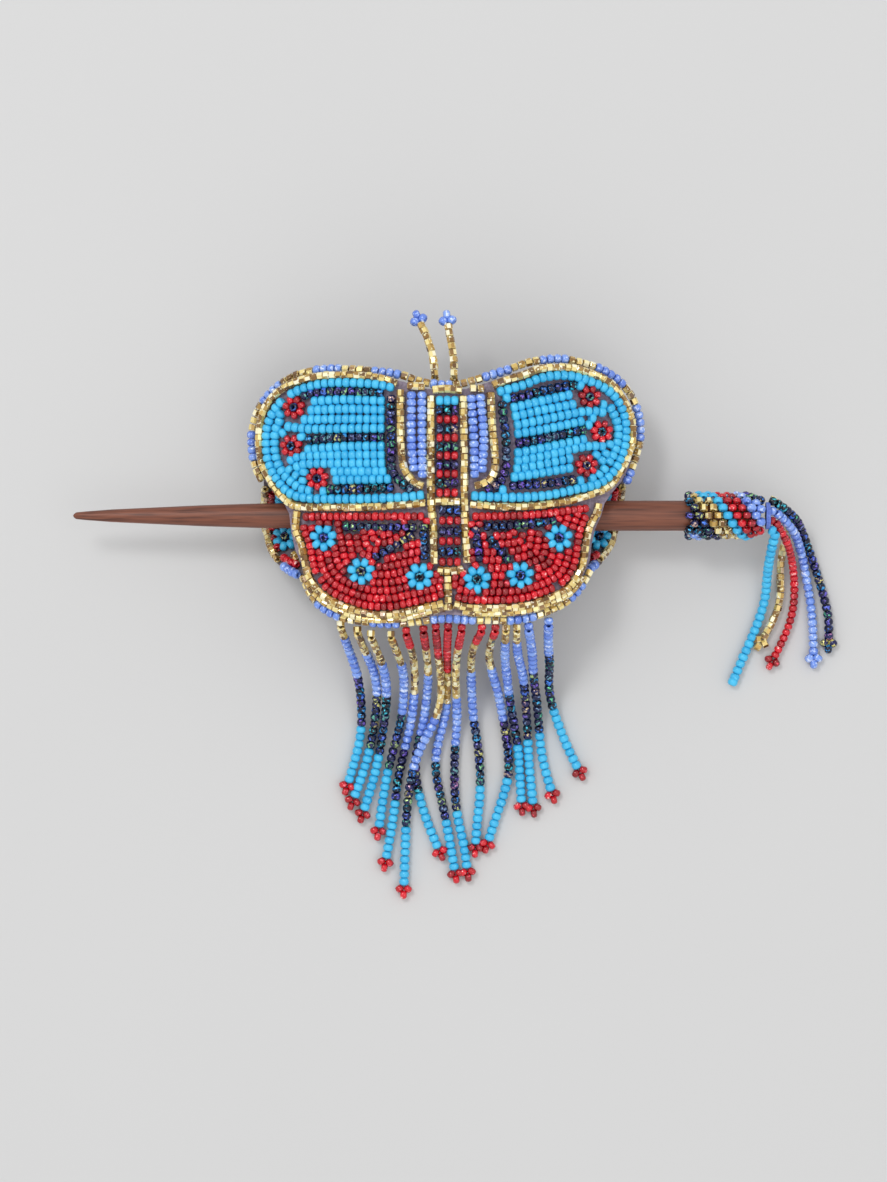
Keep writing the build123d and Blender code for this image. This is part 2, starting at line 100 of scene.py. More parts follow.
def spun(profile, sides):
    """The corners and faces of a closed outline of (along, out) points spun round the X axis."""
    form = bmesh.new()
    corners = [form.verts.new((along, 0.0, out)) for along, out in profile]
    edges = [form.edges.new((a, b)) for a, b in zip(corners, corners[1:] + corners[:1])]
    bmesh.ops.spin(
        form, geom=corners + edges, cent=(0, 0, 0), axis=(1, 0, 0), angle=2 * math.pi,
        steps=sides, use_merge=True,
    )
    bmesh.ops.remove_doubles(form, verts=form.verts[:], dist=1e-7)
    bmesh.ops.recalc_face_normals(form, faces=form.faces[:])
    form.verts.index_update()
    points = np.array([v.co[:] for v in form.verts])
    faces = [[v.index for v in f.verts] for f in form.faces]
    form.free()
    return points, faces


half, wide = BEAD_LENGTH / 2, BEAD_WIDTH / 2
ROUND_OUTLINE = [
    (-0.7 * half, HOLE), (-half, 0.6 * wide), (-0.66 * half, 0.88 * wide), (0, wide),
    (0.66 * half, 0.88 * wide), (half, 0.6 * wide), (0.7 * half, HOLE),
]
CUT_OUTLINE = [
    (-half, 1.2 * HOLE), (-half, 0.82 * wide), (-0.8 * half, 0.94 * wide),
    (0.8 * half, 0.94 * wide), (half, 0.82 * wide), (half, 1.2 * HOLE),
]
ROUND_BEAD = spun(ROUND_OUTLINE, 10)
CUT_BEAD = spun(CUT_OUTLINE, 7)
# How wide and how long each colour of bead is, as a share of the turquoise ones.
GAUGE = {
    "turquoise": (1.0, 1.04), "iris": (0.95, 1.0), "red": (0.86, 0.9), "gold": (0.84, 0.87),
    "periwinkle": (0.98, 1.02),
}
print("faces in a round bead", len(ROUND_BEAD[1]), "and in a cut one", len(CUT_BEAD[1]))

# %% [markdown]
# ## Materials
# Every bead carries a random number, its `tone`, which chooses its body colour and the colour of
# its painted glints, which are painted highlights. A fine noise says where the glints are. The cut
# gold beads also get a random brightness for each side, a painted reflection, so that their flat
# sides glitter.

# %% materials
# Painted glints: a fine noise paints highlight colours into each bead's colour.
PAINTED_GLINTS_PER_METRE = 1500
PAINTED_GLINT_EDGE = 0.1  # how far the noise rises from no glint to a full one


def ramp_of(nodes, stops):
    """A colour ramp through (place, screen colour) stops."""
    ramp = nodes.new("ShaderNodeValToRGB")
    while len(ramp.color_ramp.elements) < len(stops):
        ramp.color_ramp.elements.new(0.5)
    for element, (place, colour) in zip(ramp.color_ramp.elements, stops):
        element.position = place
        element.color = (*[linear(c) for c in colour], 1.0)
    return ramp


def linear(value):
    """A screen colour from 0 to 255 as linear light."""
    share = value / 255
    return share / 12.92 if share <= 0.04045 else ((share + 0.055) / 1.055) ** 2.4


def bead_material(name, body, glints, spark, roughness, metallic, coat, cut=0.0):
    """Glass whose body colour follows the bead's tone, with painted glints of about 0.6 mm.

    The glints are painted highlights in another range of colours, also by tone, where a noise
    passes the spark level.
    A cut bead's sides each have their own shade as well: a random brightness for each side, painted
    reflections on its flat sides."""
    material = bpy.data.materials.new(name)
    material.use_nodes = True
    nodes, links = material.node_tree.nodes, material.node_tree.links
    shader = nodes["Principled BSDF"]
    tone = nodes.new("ShaderNodeAttribute")
    tone.attribute_name = "tone"
    side = nodes.new("ShaderNodeAttribute")
    side.attribute_name = "side"
    # For cut beads, each side's random brightness, a painted reflection, is mixed in with the tone.
    shade = nodes.new("ShaderNodeMix")
    shade.inputs["Factor"].default_value = cut
    links.new(tone.outputs["Fac"], shade.inputs["A"])
    links.new(side.outputs["Fac"], shade.inputs["B"])
    base = ramp_of(nodes, body)
    links.new(shade.outputs["Result"], base.inputs["Fac"])
    # painted highlight colours for the glints, chosen by tone
    painted_glint_ramp = ramp_of(nodes, glints)
    links.new(tone.outputs["Fac"], painted_glint_ramp.inputs["Fac"])
    place = nodes.new("ShaderNodeTexCoord")
    noise = nodes.new("ShaderNodeTexNoise")
    noise.inputs["Scale"].default_value = PAINTED_GLINTS_PER_METRE
    noise.inputs["Detail"].default_value = 1.0
    links.new(place.outputs["Object"], noise.inputs["Vector"])
    level = nodes.new("ShaderNodeMapRange")
    level.inputs["From Min"].default_value = spark
    level.inputs["From Max"].default_value = spark + PAINTED_GLINT_EDGE
    links.new(noise.outputs["Fac"], level.inputs["Value"])
    # the painted highlights go into the base colour where the noise passes the spark level
    mix = nodes.new("ShaderNodeMix")
    mix.data_type = "RGBA"
    links.new(level.outputs["Result"], mix.inputs["Factor"])
    links.new(base.outputs["Color"], mix.inputs["A"])
    links.new(painted_glint_ramp.outputs["Color"], mix.inputs["B"])
    links.new(mix.outputs["Result"], shader.inputs["Base Color"])
    shader.inputs["Roughness"].default_value = roughness
    shader.inputs["Metallic"].default_value = metallic
    shader.inputs["Coat Weight"].default_value = coat
    shader.inputs["Coat Roughness"].default_value = 0.15
    return material


# Each colour's second ramp holds the colours of its painted highlights.
BEADS = {
    "turquoise": bead_material(
        "turquoise_opaque_glass",
        [(0.0, (44, 172, 224)), (1.0, (66, 192, 238))], [(0.0, (96, 208, 242)), (1.0, (74, 196, 238))],
        0.62, 0.38, 0.0, 0.25,
    ),
    "iris": bead_material(
        "dark_iris_glass",
        [(0.0, (8, 10, 26)), (0.6, (16, 22, 62)), (1.0, (22, 26, 84))],
        [(0.0, (60, 200, 215)), (0.3, (50, 120, 225)), (0.55, (120, 80, 200)),
         (0.8, (80, 180, 130)), (0.94, (220, 210, 120)), (1.0, (170, 110, 170))],
        0.53, 0.18, 0.45, 0.35,
    ),
    "red": bead_material(
        "silver_lined_red_glass",
        [(0.0, (130, 2, 12)), (0.5, (186, 6, 24)), (1.0, (220, 14, 38))],
        [(0.0, (240, 60, 84)), (0.7, (250, 110, 124)), (1.0, (255, 196, 190))],
        0.61, 0.16, 0.15, 0.45,
    ),
    # The gold's body ramp runs from dark brown to near white and mostly follows each side's random
    # brightness: painted shade and painted highlights on its facets.
    "gold": bead_material(
        "silver_lined_gold_glass",
        [(0.0, (78, 48, 14)), (0.28, (140, 100, 40)), (0.5, (206, 170, 88)),
         (0.72, (244, 226, 150)), (1.0, (255, 253, 228))],
        [(0.0, (250, 238, 180)), (1.0, (255, 252, 230))],
        0.6, 0.16, 0.3, 0.7, 0.85,
    ),
    "periwinkle": bead_material(
        "periwinkle_pearl_glass",
        [(0.0, (88, 122, 214)), (0.5, (108, 146, 230)), (1.0, (134, 168, 238))],
        [(0.0, (160, 188, 246)), (1.0, (218, 229, 253))],
        0.56, 0.2, 0.05, 0.7,
    ),
}
COLOURS = list(BEADS)


def plain_material(name, stops, stretch, roughness, bump):
    """Cloth, leather or wood: a stretched noise chooses the colour and raises the surface."""
    material = bpy.data.materials.new(name)
    material.use_nodes = True
    nodes, links = material.node_tree.nodes, material.node_tree.links
    shader = nodes["Principled BSDF"]
    place = nodes.new("ShaderNodeTexCoord")
    scale = nodes.new("ShaderNodeMapping")
    scale.inputs["Scale"].default_value = stretch
    noise = nodes.new("ShaderNodeTexNoise")
    noise.inputs["Scale"].default_value = 1.0
    noise.inputs["Detail"].default_value = 6.0
    links.new(place.outputs["Object"], scale.inputs["Vector"])
    links.new(scale.outputs["Vector"], noise.inputs["Vector"])
    ramp = ramp_of(nodes, stops)
    links.new(noise.outputs["Fac"], ramp.inputs["Fac"])
    links.new(ramp.outputs["Color"], shader.inputs["Base Color"])
    shader.inputs["Roughness"].default_value = roughness
    raised = nodes.new("ShaderNodeBump")
    raised.inputs["Strength"].default_value = bump
    raised.inputs["Distance"].default_value = 0.0003
    links.new(noise.outputs["Fac"], raised.inputs["Height"])
    links.new(raised.outputs["Normal"], shader.inputs["Normal"])
    return material


WOOD = plain_material(
    "reddish_brown_wood",
    [(0.3, (70, 36, 24)), (0.45, (106, 58, 40)), (0.6, (126, 72, 50)), (0.75, (88, 46, 32))],
    (60, 1500, 1500), 0.45, 0.35,
)
SUEDE = plain_material(
    "plum_grey_suede", [(0.3, (92, 84, 92)), (0.7, (124, 116, 124))], (900, 900, 900), 0.9, 0.5
)
# The felt is painted darker than its own pale lilac, as painted shade in the gaps between the bead
# rows.
FELT = plain_material(
    "lilac_felt_darkened_as_painted_shade", [(0.3, (112, 100, 116)), (0.7, (152, 140, 156))], (1500, 1500, 1500), 0.95,
    0.6,
)
CARD = plain_material(
    "stiff_card", [(0.3, (196, 190, 176)), (0.7, (214, 208, 196))], (400, 400, 400), 0.8, 0.1
)
THREAD = plain_material(
    "blue_thread", [(0.3, (70, 92, 176)), (0.7, (112, 140, 220))], (2500, 2500, 2500), 0.7, 0.4
)
print("materials", len(bpy.data.materials))

# %% [markdown]
# ## Turning a list of beads into one piece
# A bead is written as its centre, the way its hole runs, the way that faces out, and its colour.
# `strung` copies the right bead shape to each, with small differences in size and turn.
# `smooth_line` and `spaced` turn a few points into evenly spaced places along a smooth curve.

# %% strung


def strung(name, beads, body, nodes):
    """One mesh of many beads, riding on a body and standing for CAD nodes."""
    corners, faces, colour_of, smooth, tones = [], [], [], [], []
    count = 0
    for centre, along, out, colour in beads:
        points, sides = CUT_BEAD if colour == "gold" else ROUND_BEAD
        a = np.array(along, float)
        a /= np.linalg.norm(a)
        u = np.array(out, float)
        u = u - a * u.dot(a)
        u /= np.linalg.norm(u)
        v = np.cross(a, u)
        turn = random.uniform(0, 2 * math.pi)
        u, v = u * math.cos(turn) + v * math.sin(turn), v * math.cos(turn) - u * math.sin(turn)
        width = GAUGE[colour][0] * random.uniform(0.96, 1.03)
        length = GAUGE[colour][1] * random.uniform(0.94, 1.04)
        basis = np.array([a * length, v * width, u * width])
        corners.append(points @ basis + np.array(centre, float))
        faces += [[i + count for i in face] for face in sides]
        count += len(points)
        colour_of += [COLOURS.index(colour)] * len(sides)
        smooth += [colour != "gold"] * len(sides)
        tones.append(np.full(len(points), random.random()))
    mesh = bpy.data.meshes.new(name)
    mesh.from_pydata(np.concatenate(corners).tolist(), [], faces)
    used = sorted(set(colour_of))
    for index in used:
        mesh.materials.append(BEADS[COLOURS[index]])
    mesh.polygons.foreach_set("material_index", [used.index(i) for i in colour_of])
    mesh.polygons.foreach_set("use_smooth", smooth)
    tone = mesh.attributes.new("tone", "FLOAT", "POINT")
    tone.data.foreach_set("value", np.concatenate(tones).astype(np.float32))
    # A random brightness for each face; the cut gold beads use it as painted reflections on their
    # sides.
    shade = mesh.attributes.new("side", "FLOAT", "FACE")
    shade.data.foreach_set("value", [random.random() for _ in faces])
    mesh.update()
    piece = bpy.data.objects.new(name, mesh)
    bpy.context.scene.collection.objects.link(piece)
    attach(piece, body)
    if nodes:
        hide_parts(*nodes)
    print(f"{name}: {len(beads)} beads")
    return piece


def smooth_line(points, step=0.2):
    """A smooth curve through the points, as closely spaced points (Catmull-Rom)."""
    p = np.array(points, float)
    p = np.concatenate([[2 * p[0] - p[1]], p, [2 * p[-1] - p[-2]]])
    line = []
    for a, b, c, d in zip(p, p[1:], p[2:], p[3:]):
        count = max(2, int(np.linalg.norm(c - b) / step))
        for t in np.arange(count) / count:
            line.append(
                0.5 * (2 * b + (c - a) * t + (2 * a - 5 * b + 4 * c - d) * t**2
                       + (3 * b - a - 3 * c + d) * t**3)
            )
    line.append(p[-2])
    return np.array(line)


def spaced(line, pitch):
    """Points and directions at even steps along a line, fitted to fill it from end to end."""
    runs = np.linalg.norm(np.diff(line, axis=0), axis=1)
    far = np.concatenate([[0], np.cumsum(runs)])
    count = max(1, round(far[-1] / pitch))
    step = far[-1] / count
    found = []
    for i in range(count):
        at = (i + 0.5) * step
        here = np.array([np.interp(at, far, line[:, k]) for k in range(line.shape[1])])
        lo, hi = max(0, at - step / 2), min(far[-1], at + step / 2)
        ends = [np.array([np.interp(s, far, line[:, k]) for k in range(line.shape[1])])
                for s in (lo, hi)]
        found.append((here, ends[1] - ends[0]))
    return found


# %% [markdown]
# ## The arched panel
# The panel is part of a cylinder about an axis along Y. Its radius is the leather's bend with the
# backing's three layers on it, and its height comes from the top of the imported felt. `on_arch`
# lifts a plan point to the beads' height above the felt.
#
# `bead_row` lays beads along a curve, `rosette` lays a small flower, and `filled` adds beads
# wherever an area still has room for one.

# %% arch
ARCH_RADIUS = 78.3  # the leather's underside
BACKING = 2.6  # leather, stiff sheet and felt
FELT_RADIUS = ARCH_RADIUS + BACKING
ARCH_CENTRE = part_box("beading_felt")[1][2] / MM - FELT_RADIUS
LIFT = 1.05  # a bead's centre above the felt
STANDING = 0.35  # how much higher a flower's middle bead stands
PETALS = 7
# From one bead to the next in a row, for each colour.
PITCH = {"turquoise": 1.66, "iris": 1.64, "red": 1.42, "gold": 1.42, "periwinkle": 1.62}


def on_arch(x, y, lift=LIFT):
    """The place above a plan point, at a height over the felt."""
    radius = FELT_RADIUS + lift
    return np.array([x, y, ARCH_CENTRE + math.sqrt(radius**2 - x**2)])


def facing(x):
    """The way the panel's surface faces at x."""
    return np.array([x, 0, math.sqrt(FELT_RADIUS**2 - x**2)]) / FELT_RADIUS


def bead_row(points, colour, pitch=None, lift=LIFT):
    """A row of beads along a smooth plan curve, on the panel."""
    line = np.array([on_arch(x, y, lift) for x, y in smooth_line(points)])
    return [(c * MM, d, facing(c[0]), colour) for c, d in spaced(line, pitch or PITCH[colour])]


def rosette(x, y, colour, middle, radius):
    """A ring of beads round one that stands on end."""
    made = [(on_arch(x, y, LIFT + STANDING) * MM, facing(x), np.array([0, 1, 0]), middle)]
    for i in range(PETALS):
        angle = 2 * math.pi * (i + 0.3) / PETALS
        px, py = x + radius * math.cos(angle), y + radius * math.sin(angle)
        along = np.array([-math.sin(angle), math.cos(angle), 0])
        made.append((on_arch(px, py) * MM, along, facing(px), colour))
    return made


def inside(x, y, outline):
    """True if a plan point is inside a closed outline."""
    within = False
    for (ax, ay), (bx, by) in zip(outline, outline[1:] + outline[:1]):
        if (ay > y) != (by > y) and x < ax + (y - ay) / (by - ay) * (bx - ax):
            within = not within
    return within


def filled(outline, taken, colour, room, step=0.3):
    """More beads wherever the outline still has room for one, each turned as its neighbour is."""
    places = np.array([b[0][:2] for b in taken]) / MM
    ways = [b[1] for b in taken]
    xs, ys = zip(*outline)
    made = []
    for y in np.arange(min(ys), max(ys), step):
        for x in np.arange(min(xs), max(xs), step):
            away = np.hypot(places[:, 0] - x, places[:, 1] - y)
            if away.min() > room and inside(x, y, outline):
                way = ways[int(away.argmin())]
                made.append((on_arch(x, y) * MM, way, facing(x), colour))
                places = np.vstack([places, [x, y]])
                ways.append(way)
    return made


print("arch centre", round(ARCH_CENTRE, 2), "mm")

# %% [markdown]
# ## Forewings
# A gold rim, turquoise rows that follow it and then cross the wing, dark veins between them, and
# three red rosettes near the outer end.

# %% forewings
LEFT_GOLD = [
    (-11, 28.7), (-15, 30), (-20, 30.6), (-27, 30.6), (-31, 30), (-34.3, 29), (-37.3, 27.2),
    (-39.6, 24.8), (-41, 21.8), (-41.6, 18), (-41.5, 14.5), (-41, 11.5), (-39.8, 9), (-38.2, 6.4),
    (-36.4, 4.2), (-34.4, 2.5), (-32, 1.8), (-26, 1.7), (-18, 1.7), (-10, 2.1), (-4.7, 2.6),
]
RIGHT_GOLD = [
    (9.9, 28.2), (13, 29.5), (17, 30.7), (20, 31.9), (24, 32.4), (28, 32.2), (31, 31.3),
    (34, 30.3), (36.7, 28.5), (38.5, 26), (39.9, 23.5), (40.7, 21), (41, 18.3), (40.8, 15.8),
    (39.8, 12.8), (38.4, 10), (37, 7.8), (35, 6), (32, 4.7), (27, 3.2), (22, 2.3), (17, 1.8),
    (10, 1.8), (5, 2.4),
]
LEFT_FRAME = [(-10.2, 27.4), (-10.2, 20), (-10, 14), (-9.5, 10.5), (-8.3, 8.3), (-6.9, 6.9),
              (-5.2, 6.2)]
RIGHT_FRAME = [(9.5, 26.8), (9.8, 20), (10.3, 15), (10.5, 11), (9.9, 8.5), (8.2, 6.9), (6, 6.2)]
LEFT_ROWS = [
    [(-11.6, 27.8), (-15, 28.5), (-20, 28.9), (-25, 29), (-28, 28.7), (-31, 28), (-33.6, 27),
     (-35.8, 25.6), (-37.6, 23.8), (-38.9, 21.6), (-39.7, 19.2), (-39.9, 16.4), (-39.7, 13.2),
     (-38.8, 10.2), (-37.3, 7.7), (-35.6, 5.6), (-33.4, 4.3), (-30.5, 3.7), (-26, 3.5),
     (-18, 3.5), (-10, 3.8), (-5, 4.3)],
    [(-36.6, 21.4), (-37.8, 18.6), (-38, 15), (-37.4, 11.8), (-35.9, 9), (-34, 7.2), (-32, 5.8),
     (-29.6, 5.3)],
    [(-29.8, 25), (-22, 25.3), (-13.6, 24.9)],
    [(-30.5, 23), (-22, 23.2), (-13.6, 22.9)],
    [(-32, 21), (-22, 21), (-13.6, 20.9)],
    [(-35.6, 19.6), (-30, 18.9), (-22, 18.9), (-13.6, 18.9)],
    [(-31.2, 14.4), (-22, 15), (-13.6, 15)],
    [(-35, 11.8), (-32, 12.9), (-22, 13.1), (-13.6, 13.1)],
    [(-33.6, 10.3), (-31, 11.2), (-22, 11.3), (-13.5, 11.3)],
    [(-25.4, 9.5), (-20, 9.5), (-13.3, 9.5)],
    [(-25, 7.7), (-20, 7.7), (-12.2, 7.8)],
]
RIGHT_ROWS = [
    [(10.9, 26.8), (14, 27.6), (17.3, 28.6), (20, 29.8), (24, 30.6), (28, 30.4), (31.3, 29.4),
     (34.3, 28.2), (36.9, 26.2), (38.5, 23.6), (39.3, 20.8), (39.4, 17.8), (39, 14.8),
     (38, 12), (36.8, 9.9), (35, 8), (32.4, 6.6), (28, 5.6), (22, 4.3), (15.5, 3.8), (10.3, 3.9),
     (5.2, 4.1)],
    [(35.6, 24.2), (37, 21.6), (37.7, 19), (37.5, 16.4), (36.8, 13.8), (35.3, 11.2)],
    [(13.9, 23.3), (20, 24.8), (27.3, 26.5)],
    [(14.2, 21.4), (20, 22.8), (28.2, 24.4)],
    [(14.6, 19.5), (22, 21.1), (30.4, 22.8), (34.8, 22.6)],
    [(14.7, 17.6), (22, 18.9), (30, 20.7)],
    [(14.7, 13.4), (22, 14.9), (30.6, 16.8)],
    [(14.7, 11.6), (22, 13.1), (30, 15), (34.8, 15.2)],
    [(14.4, 9.9), (21, 11.1), (27.6, 12.6)],
    [(13.9, 8.1), (20, 9.1), (27.5, 10.4)],
]
LEFT_VEINS = [
    [(-32, 26), (-30, 26.7), (-25, 27.1), (-20, 26.9), (-13.9, 26.6)],
    [(-12.2, 26.2), (-12.3, 20), (-12.2, 14), (-12.1, 10), (-11, 8.2), (-9.6, 6.6), (-7.4, 5.3)],
    [(-31, 16.4), (-25, 16.9), (-13.6, 17)],
    [(-26.3, 5.6), (-20, 5.7), (-11.6, 6)],
]
RIGHT_VEINS = [
    [(13.8, 25.2), (16.8, 25.9), (20.8, 27.2), (25, 28.1), (28.3, 28.4)],
    [(12, 25), (12.3, 21), (12.8, 17.5), (12.9, 13), (12.8, 10), (12, 7.8), (10.4, 6.2),
     (8.3, 5.5)],
    [(14.9, 15.5), (22, 16.9), (30.6, 18.8)],
    [(13.6, 6.3), (22, 6.9), (28.3, 7.9)],
]
LEFT_AREA = [
    (-11.5, 27.3), (-20, 29), (-27, 29), (-33, 27.6), (-37.5, 24), (-39.8, 18), (-39.4, 12.5),
    (-37.2, 7.6), (-33, 4), (-26, 3.4), (-10, 3.6), (-5.4, 4.2), (-7.4, 5.6), (-10.6, 8),
    (-11.8, 12), (-11.8, 22),
]
RIGHT_AREA = [
    (11, 26.5), (17.3, 28.5), (24, 30.5), (31, 29.4), (36.9, 26), (39.3, 20), (38.6, 13.5),
    (35.4, 8.4), (31, 6.2), (22, 4.3), (10, 3.9), (5.8, 4.2), (8.6, 5.6), (11.4, 8), (12.4, 12),
    (12.2, 20),
]
BLUE_CLEAR = 1.35  # the least distance from a turquoise row to a rosette or a vein, seen from above
BLUE_ROOM = 1.62  # one more bead goes in where no other is this near
SPOT_RADIUS = 1.7
LEFT_SPOTS = [(-33.7, 23.7), (-34.3, 15.2), (-28.5, 8)]
RIGHT_SPOTS = [(31.3, 26), (34, 18.4), (30.6, 10.9)]
for side, gold, inner, rows, veins, area, spots in (
    ("left", LEFT_GOLD, LEFT_FRAME, LEFT_ROWS, LEFT_VEINS, LEFT_AREA, LEFT_SPOTS),
    ("right", RIGHT_GOLD, RIGHT_FRAME, RIGHT_ROWS, RIGHT_VEINS, RIGHT_AREA, RIGHT_SPOTS),
):
    rim = bead_row(gold, "gold") + bead_row(inner, "gold")
    dark = [bead for vein in veins for bead in bead_row(vein, "iris")]
    flowers = [bead for x, y in spots for bead in rosette(x, y, "red", "iris", SPOT_RADIUS)]
    blue = []
    near = [np.array(b[0][:2]) for b in flowers + dark]
    for points in rows:
        for bead in bead_row(points, "turquoise"):
            if min(np.linalg.norm(bead[0][:2] - n) for n in near) > BLUE_CLEAR * MM:
                blue.append(bead)
    blue += filled(area, rim + dark + flowers + blue, "turquoise", BLUE_ROOM)
    strung(f"{side}_forewing_gold_rim", rim, "panel", [f"{side}_forewing_outline"])
    strung(f"{side}_forewing_dark_veins", dark, "panel", [f"{side}_forewing_veins"])
    strung(f"{side}_forewing_spots", flowers, "panel", [f"{side}_forewing_rosettes"])
    strung(f"{side}_forewing_blue_rows", blue, "panel", [f"{side}_forewing_beads"])

# %% [markdown]
# ## Hindwings
# Red rows run beside the gold rim, one inside the other, round a few dark veins and turquoise
# flowers. Along the bottom a second gold row fills the strip outside the rim.

# %% hindwings
LEFT_RIM = [
    (-33, 0.9), (-33.3, -3), (-32.2, -6), (-31.5, -9), (-30.9, -12), (-29.9, -14.4),
    (-27.8, -17.2), (-25, -19.1), (-21, -20.8), (-17, -21.8), (-12, -21.9), (-8.5, -21.2),
    (-4, -20.2), (-0.8, -19.4),
]
RIGHT_RIM = [
    (1.4, -19.7), (5, -20.4), (10, -20.5), (15, -20.3), (19, -19.5), (23.4, -17.9), (26.6, -16),
    (28.4, -13.8), (29.7, -11), (30.3, -7.6), (30.8, -4.3), (31.8, -1.6), (33, 0.6), (33.4, 2.6),
]
LEFT_DARK = [
    [(-22.9, -2.6), (-14, -2.8), (-6.6, -2.8)],
    [(-5.2, -1.9), (-5.1, -5.5), (-4.9, -9.8)],
    [(-7.2, -4.2), (-9.5, -5.6), (-12, -7.2), (-14.4, -8.6), (-16.3, -9.4)],
]
RIGHT_DARK = [
    [(24, -1.3), (15, -2.3), (8, -2.6)],
    [(6, -2.6), (6.5, -5.6), (7, -10.4)],
    [(8.9, -4.9), (10.6, -6.7), (12.2, -8.6), (13.6, -10.3)],
]
LEFT_RED_AREA = [
    (-32.3, 0.2), (-32, -4), (-30.4, -8), (-29.4, -12), (-26, -16.6), (-20, -19.6), (-14, -20.6),
    (-8, -20), (-1.2, -18.2), (-1, -13.4), (-3.6, -11.6), (-4.2, -1), (-5, 0.3),
]
RIGHT_RED_AREA = [
    (32, 1.8), (31, -0.8), (29.6, -4), (28.8, -9), (26.4, -14), (21, -17.4), (14, -19.2),
    (6, -19.2), (1.6, -18.2), (1.4, -13.2), (5.4, -11.4), (5, -1), (5.4, 0.2), (20, 0.8),
]
LEFT_BLOOMS = [(-27.1, -5), (-18.8, -12.4), (-6, -13.6)]
RIGHT_BLOOMS = [(24.5, -5), (16, -13.3), (6.5, -14.2)]
LEFT_TOP = [(-31.6, -0.4), (-18, -0.4), (-5, -0.4)]
RIGHT_TOP = [(5.5, -0.4), (13, -0.3), (20, 0.1), (25, 0.7), (31, 1.5)]
RED_ROW = 1.75  # from one red row to the next
RED_ROWS = 11
FIRST_RED = 1.85  # from the gold rim to the first red row
RED_CLEAR = 1.15  # the least distance from a red bead to any but the one before it
RED_ROOM = 1.45  # one more bead goes in where no other is this near
BLOOM_RADIUS = 2.05
KNOTS = 12  # every so many points of a line are enough to draw it again
SECOND_GOLD = 1.0  # how far outside the rim its second row runs
SECOND_DROP = 0.7  # and how much lower
BOTTOM = -13  # the second row is only below this


def beside(points, distance):
    """The line at a distance to the left of a smooth one, without the part that doubles back."""
    line = smooth_line(points)
    way = np.gradient(line, axis=0)
    way /= np.linalg.norm(way, axis=1)[:, None]
    moved = line + distance * np.stack([-way[:, 1], way[:, 0]], axis=1)
    kept = [m for m in moved if np.linalg.norm(line - m, axis=1).min() > distance - 0.05]
    return np.array(kept)


for side, gold, top, darks, area, blooms in (
    ("left", LEFT_RIM, LEFT_TOP, LEFT_DARK, LEFT_RED_AREA, LEFT_BLOOMS),
    ("right", RIGHT_RIM, RIGHT_TOP, RIGHT_DARK, RIGHT_RED_AREA, RIGHT_BLOOMS),
):
    rim = bead_row(gold, "gold")
    reds = [top] + [beside(gold, FIRST_RED + RED_ROW * k)[::KNOTS] for k in range(RED_ROWS)]
    reds = [line for line in reds if len(line) > 1]
    dark = [bead for vein in darks for bead in bead_row(vein, "iris")]
    flowers = [bead for x, y in blooms for bead in rosette(x, y, "turquoise", "iris", BLOOM_RADIUS)]
    red = []
    near = [np.array(b[0][:2]) for b in flowers + dark + rim]
    for points in reds:
        for bead in bead_row(points, "red"):
            others = near + [np.array(b[0][:2]) for b in red[:-1]]
            away = min(np.linalg.norm(bead[0][:2] - n) for n in others)
            if away > RED_CLEAR * MM and inside(*(bead[0][:2] / MM), area):
                red.append(bead)
    red += filled(area, rim + dark + flowers + red, "red", RED_ROOM)
    outside = beside(gold[::-1], SECOND_GOLD)[::KNOTS]
    second = bead_row(outside, "gold", None, LIFT - SECOND_DROP)
    rim += [bead for bead in second if bead[0][1] < BOTTOM * MM]
    strung(f"{side}_hindwing_gold_rim", rim, "panel", [f"{side}_hindwing_outline"])
    strung(f"{side}_hindwing_dark_veins", dark, "panel", [f"{side}_hindwing_veins"])
    strung(f"{side}_hindwing_blooms", flowers, "panel", [f"{side}_hindwing_flowers"])
    strung(f"{side}_hindwing_red_rows", red, "panel", [f"{side}_hindwing_beads"])

# %% [markdown]
# ## Body and thorax
# The body is a ladder of short rows, three beads wide, between two gold lines. The thorax has two
# columns of periwinkle beads on each side.

# %% body
GOLD_LINES = [
    [(-3.5, 26), (-3.6, 15), (-3.5, 3), (-3.1, -2), (-2.8, -10.8)],
    [(3.5, 26), (3.7, 15), (3.8, 2), (4.1, -5), (4.4, -10.6)],
    [(-3.2, 27.3), (0, 27.5), (3.2, 27.2)], [(-2.6, 2.8), (0, 2.9), (2.8, 2.8)],
    [(-2.2, -12.2), (0.6, -12.4), (3.6, -12)], [(0.2, -13.4), (0.2, -16), (0.3, -21)],
    [(-8.6, 28.2), (-5, 28)], [(4.8, 27.6), (8.2, 27.6)],
]
body_gold = [bead for line in GOLD_LINES for bead in bead_row(line, "gold")]
strung("body_gold_lines", body_gold, "panel", ["body_outline"])

HALF_RUNG = 2.45
RUNG_PITCH = 1.63
UPPER_STRIPES = [
    (24.9, "turquoise"), (22.8, "iris"), (20.8, "red"), (18.8, "iris"), (16.8, "red"),
    (14.8, "iris"), (12.9, "red"), (10.9, "iris"), (8.9, "red"), (6.9, "iris"), (4.8, "red"),
]
LOWER_STRIPES = [
    (0.9, "iris"), (-1.3, "red"), (-3.6, "iris"), (-5.8, "red"), (-8.1, "iris"), (-10.3, "red"),
]
for name, stripes, middle, node in (
    ("upper_body_ladder", UPPER_STRIPES, 0.0, "upper_body_stripes"),
    ("lower_body_ladder", LOWER_STRIPES, 0.6, "lower_body_stripes"),
):
    ladder = []
    for y, colour in stripes:
        rung = [(middle - HALF_RUNG, y), (middle, y), (middle + HALF_RUNG, y)]
        ladder += bead_row(rung, colour, RUNG_PITCH)
    strung(name, ladder, "panel", [node])

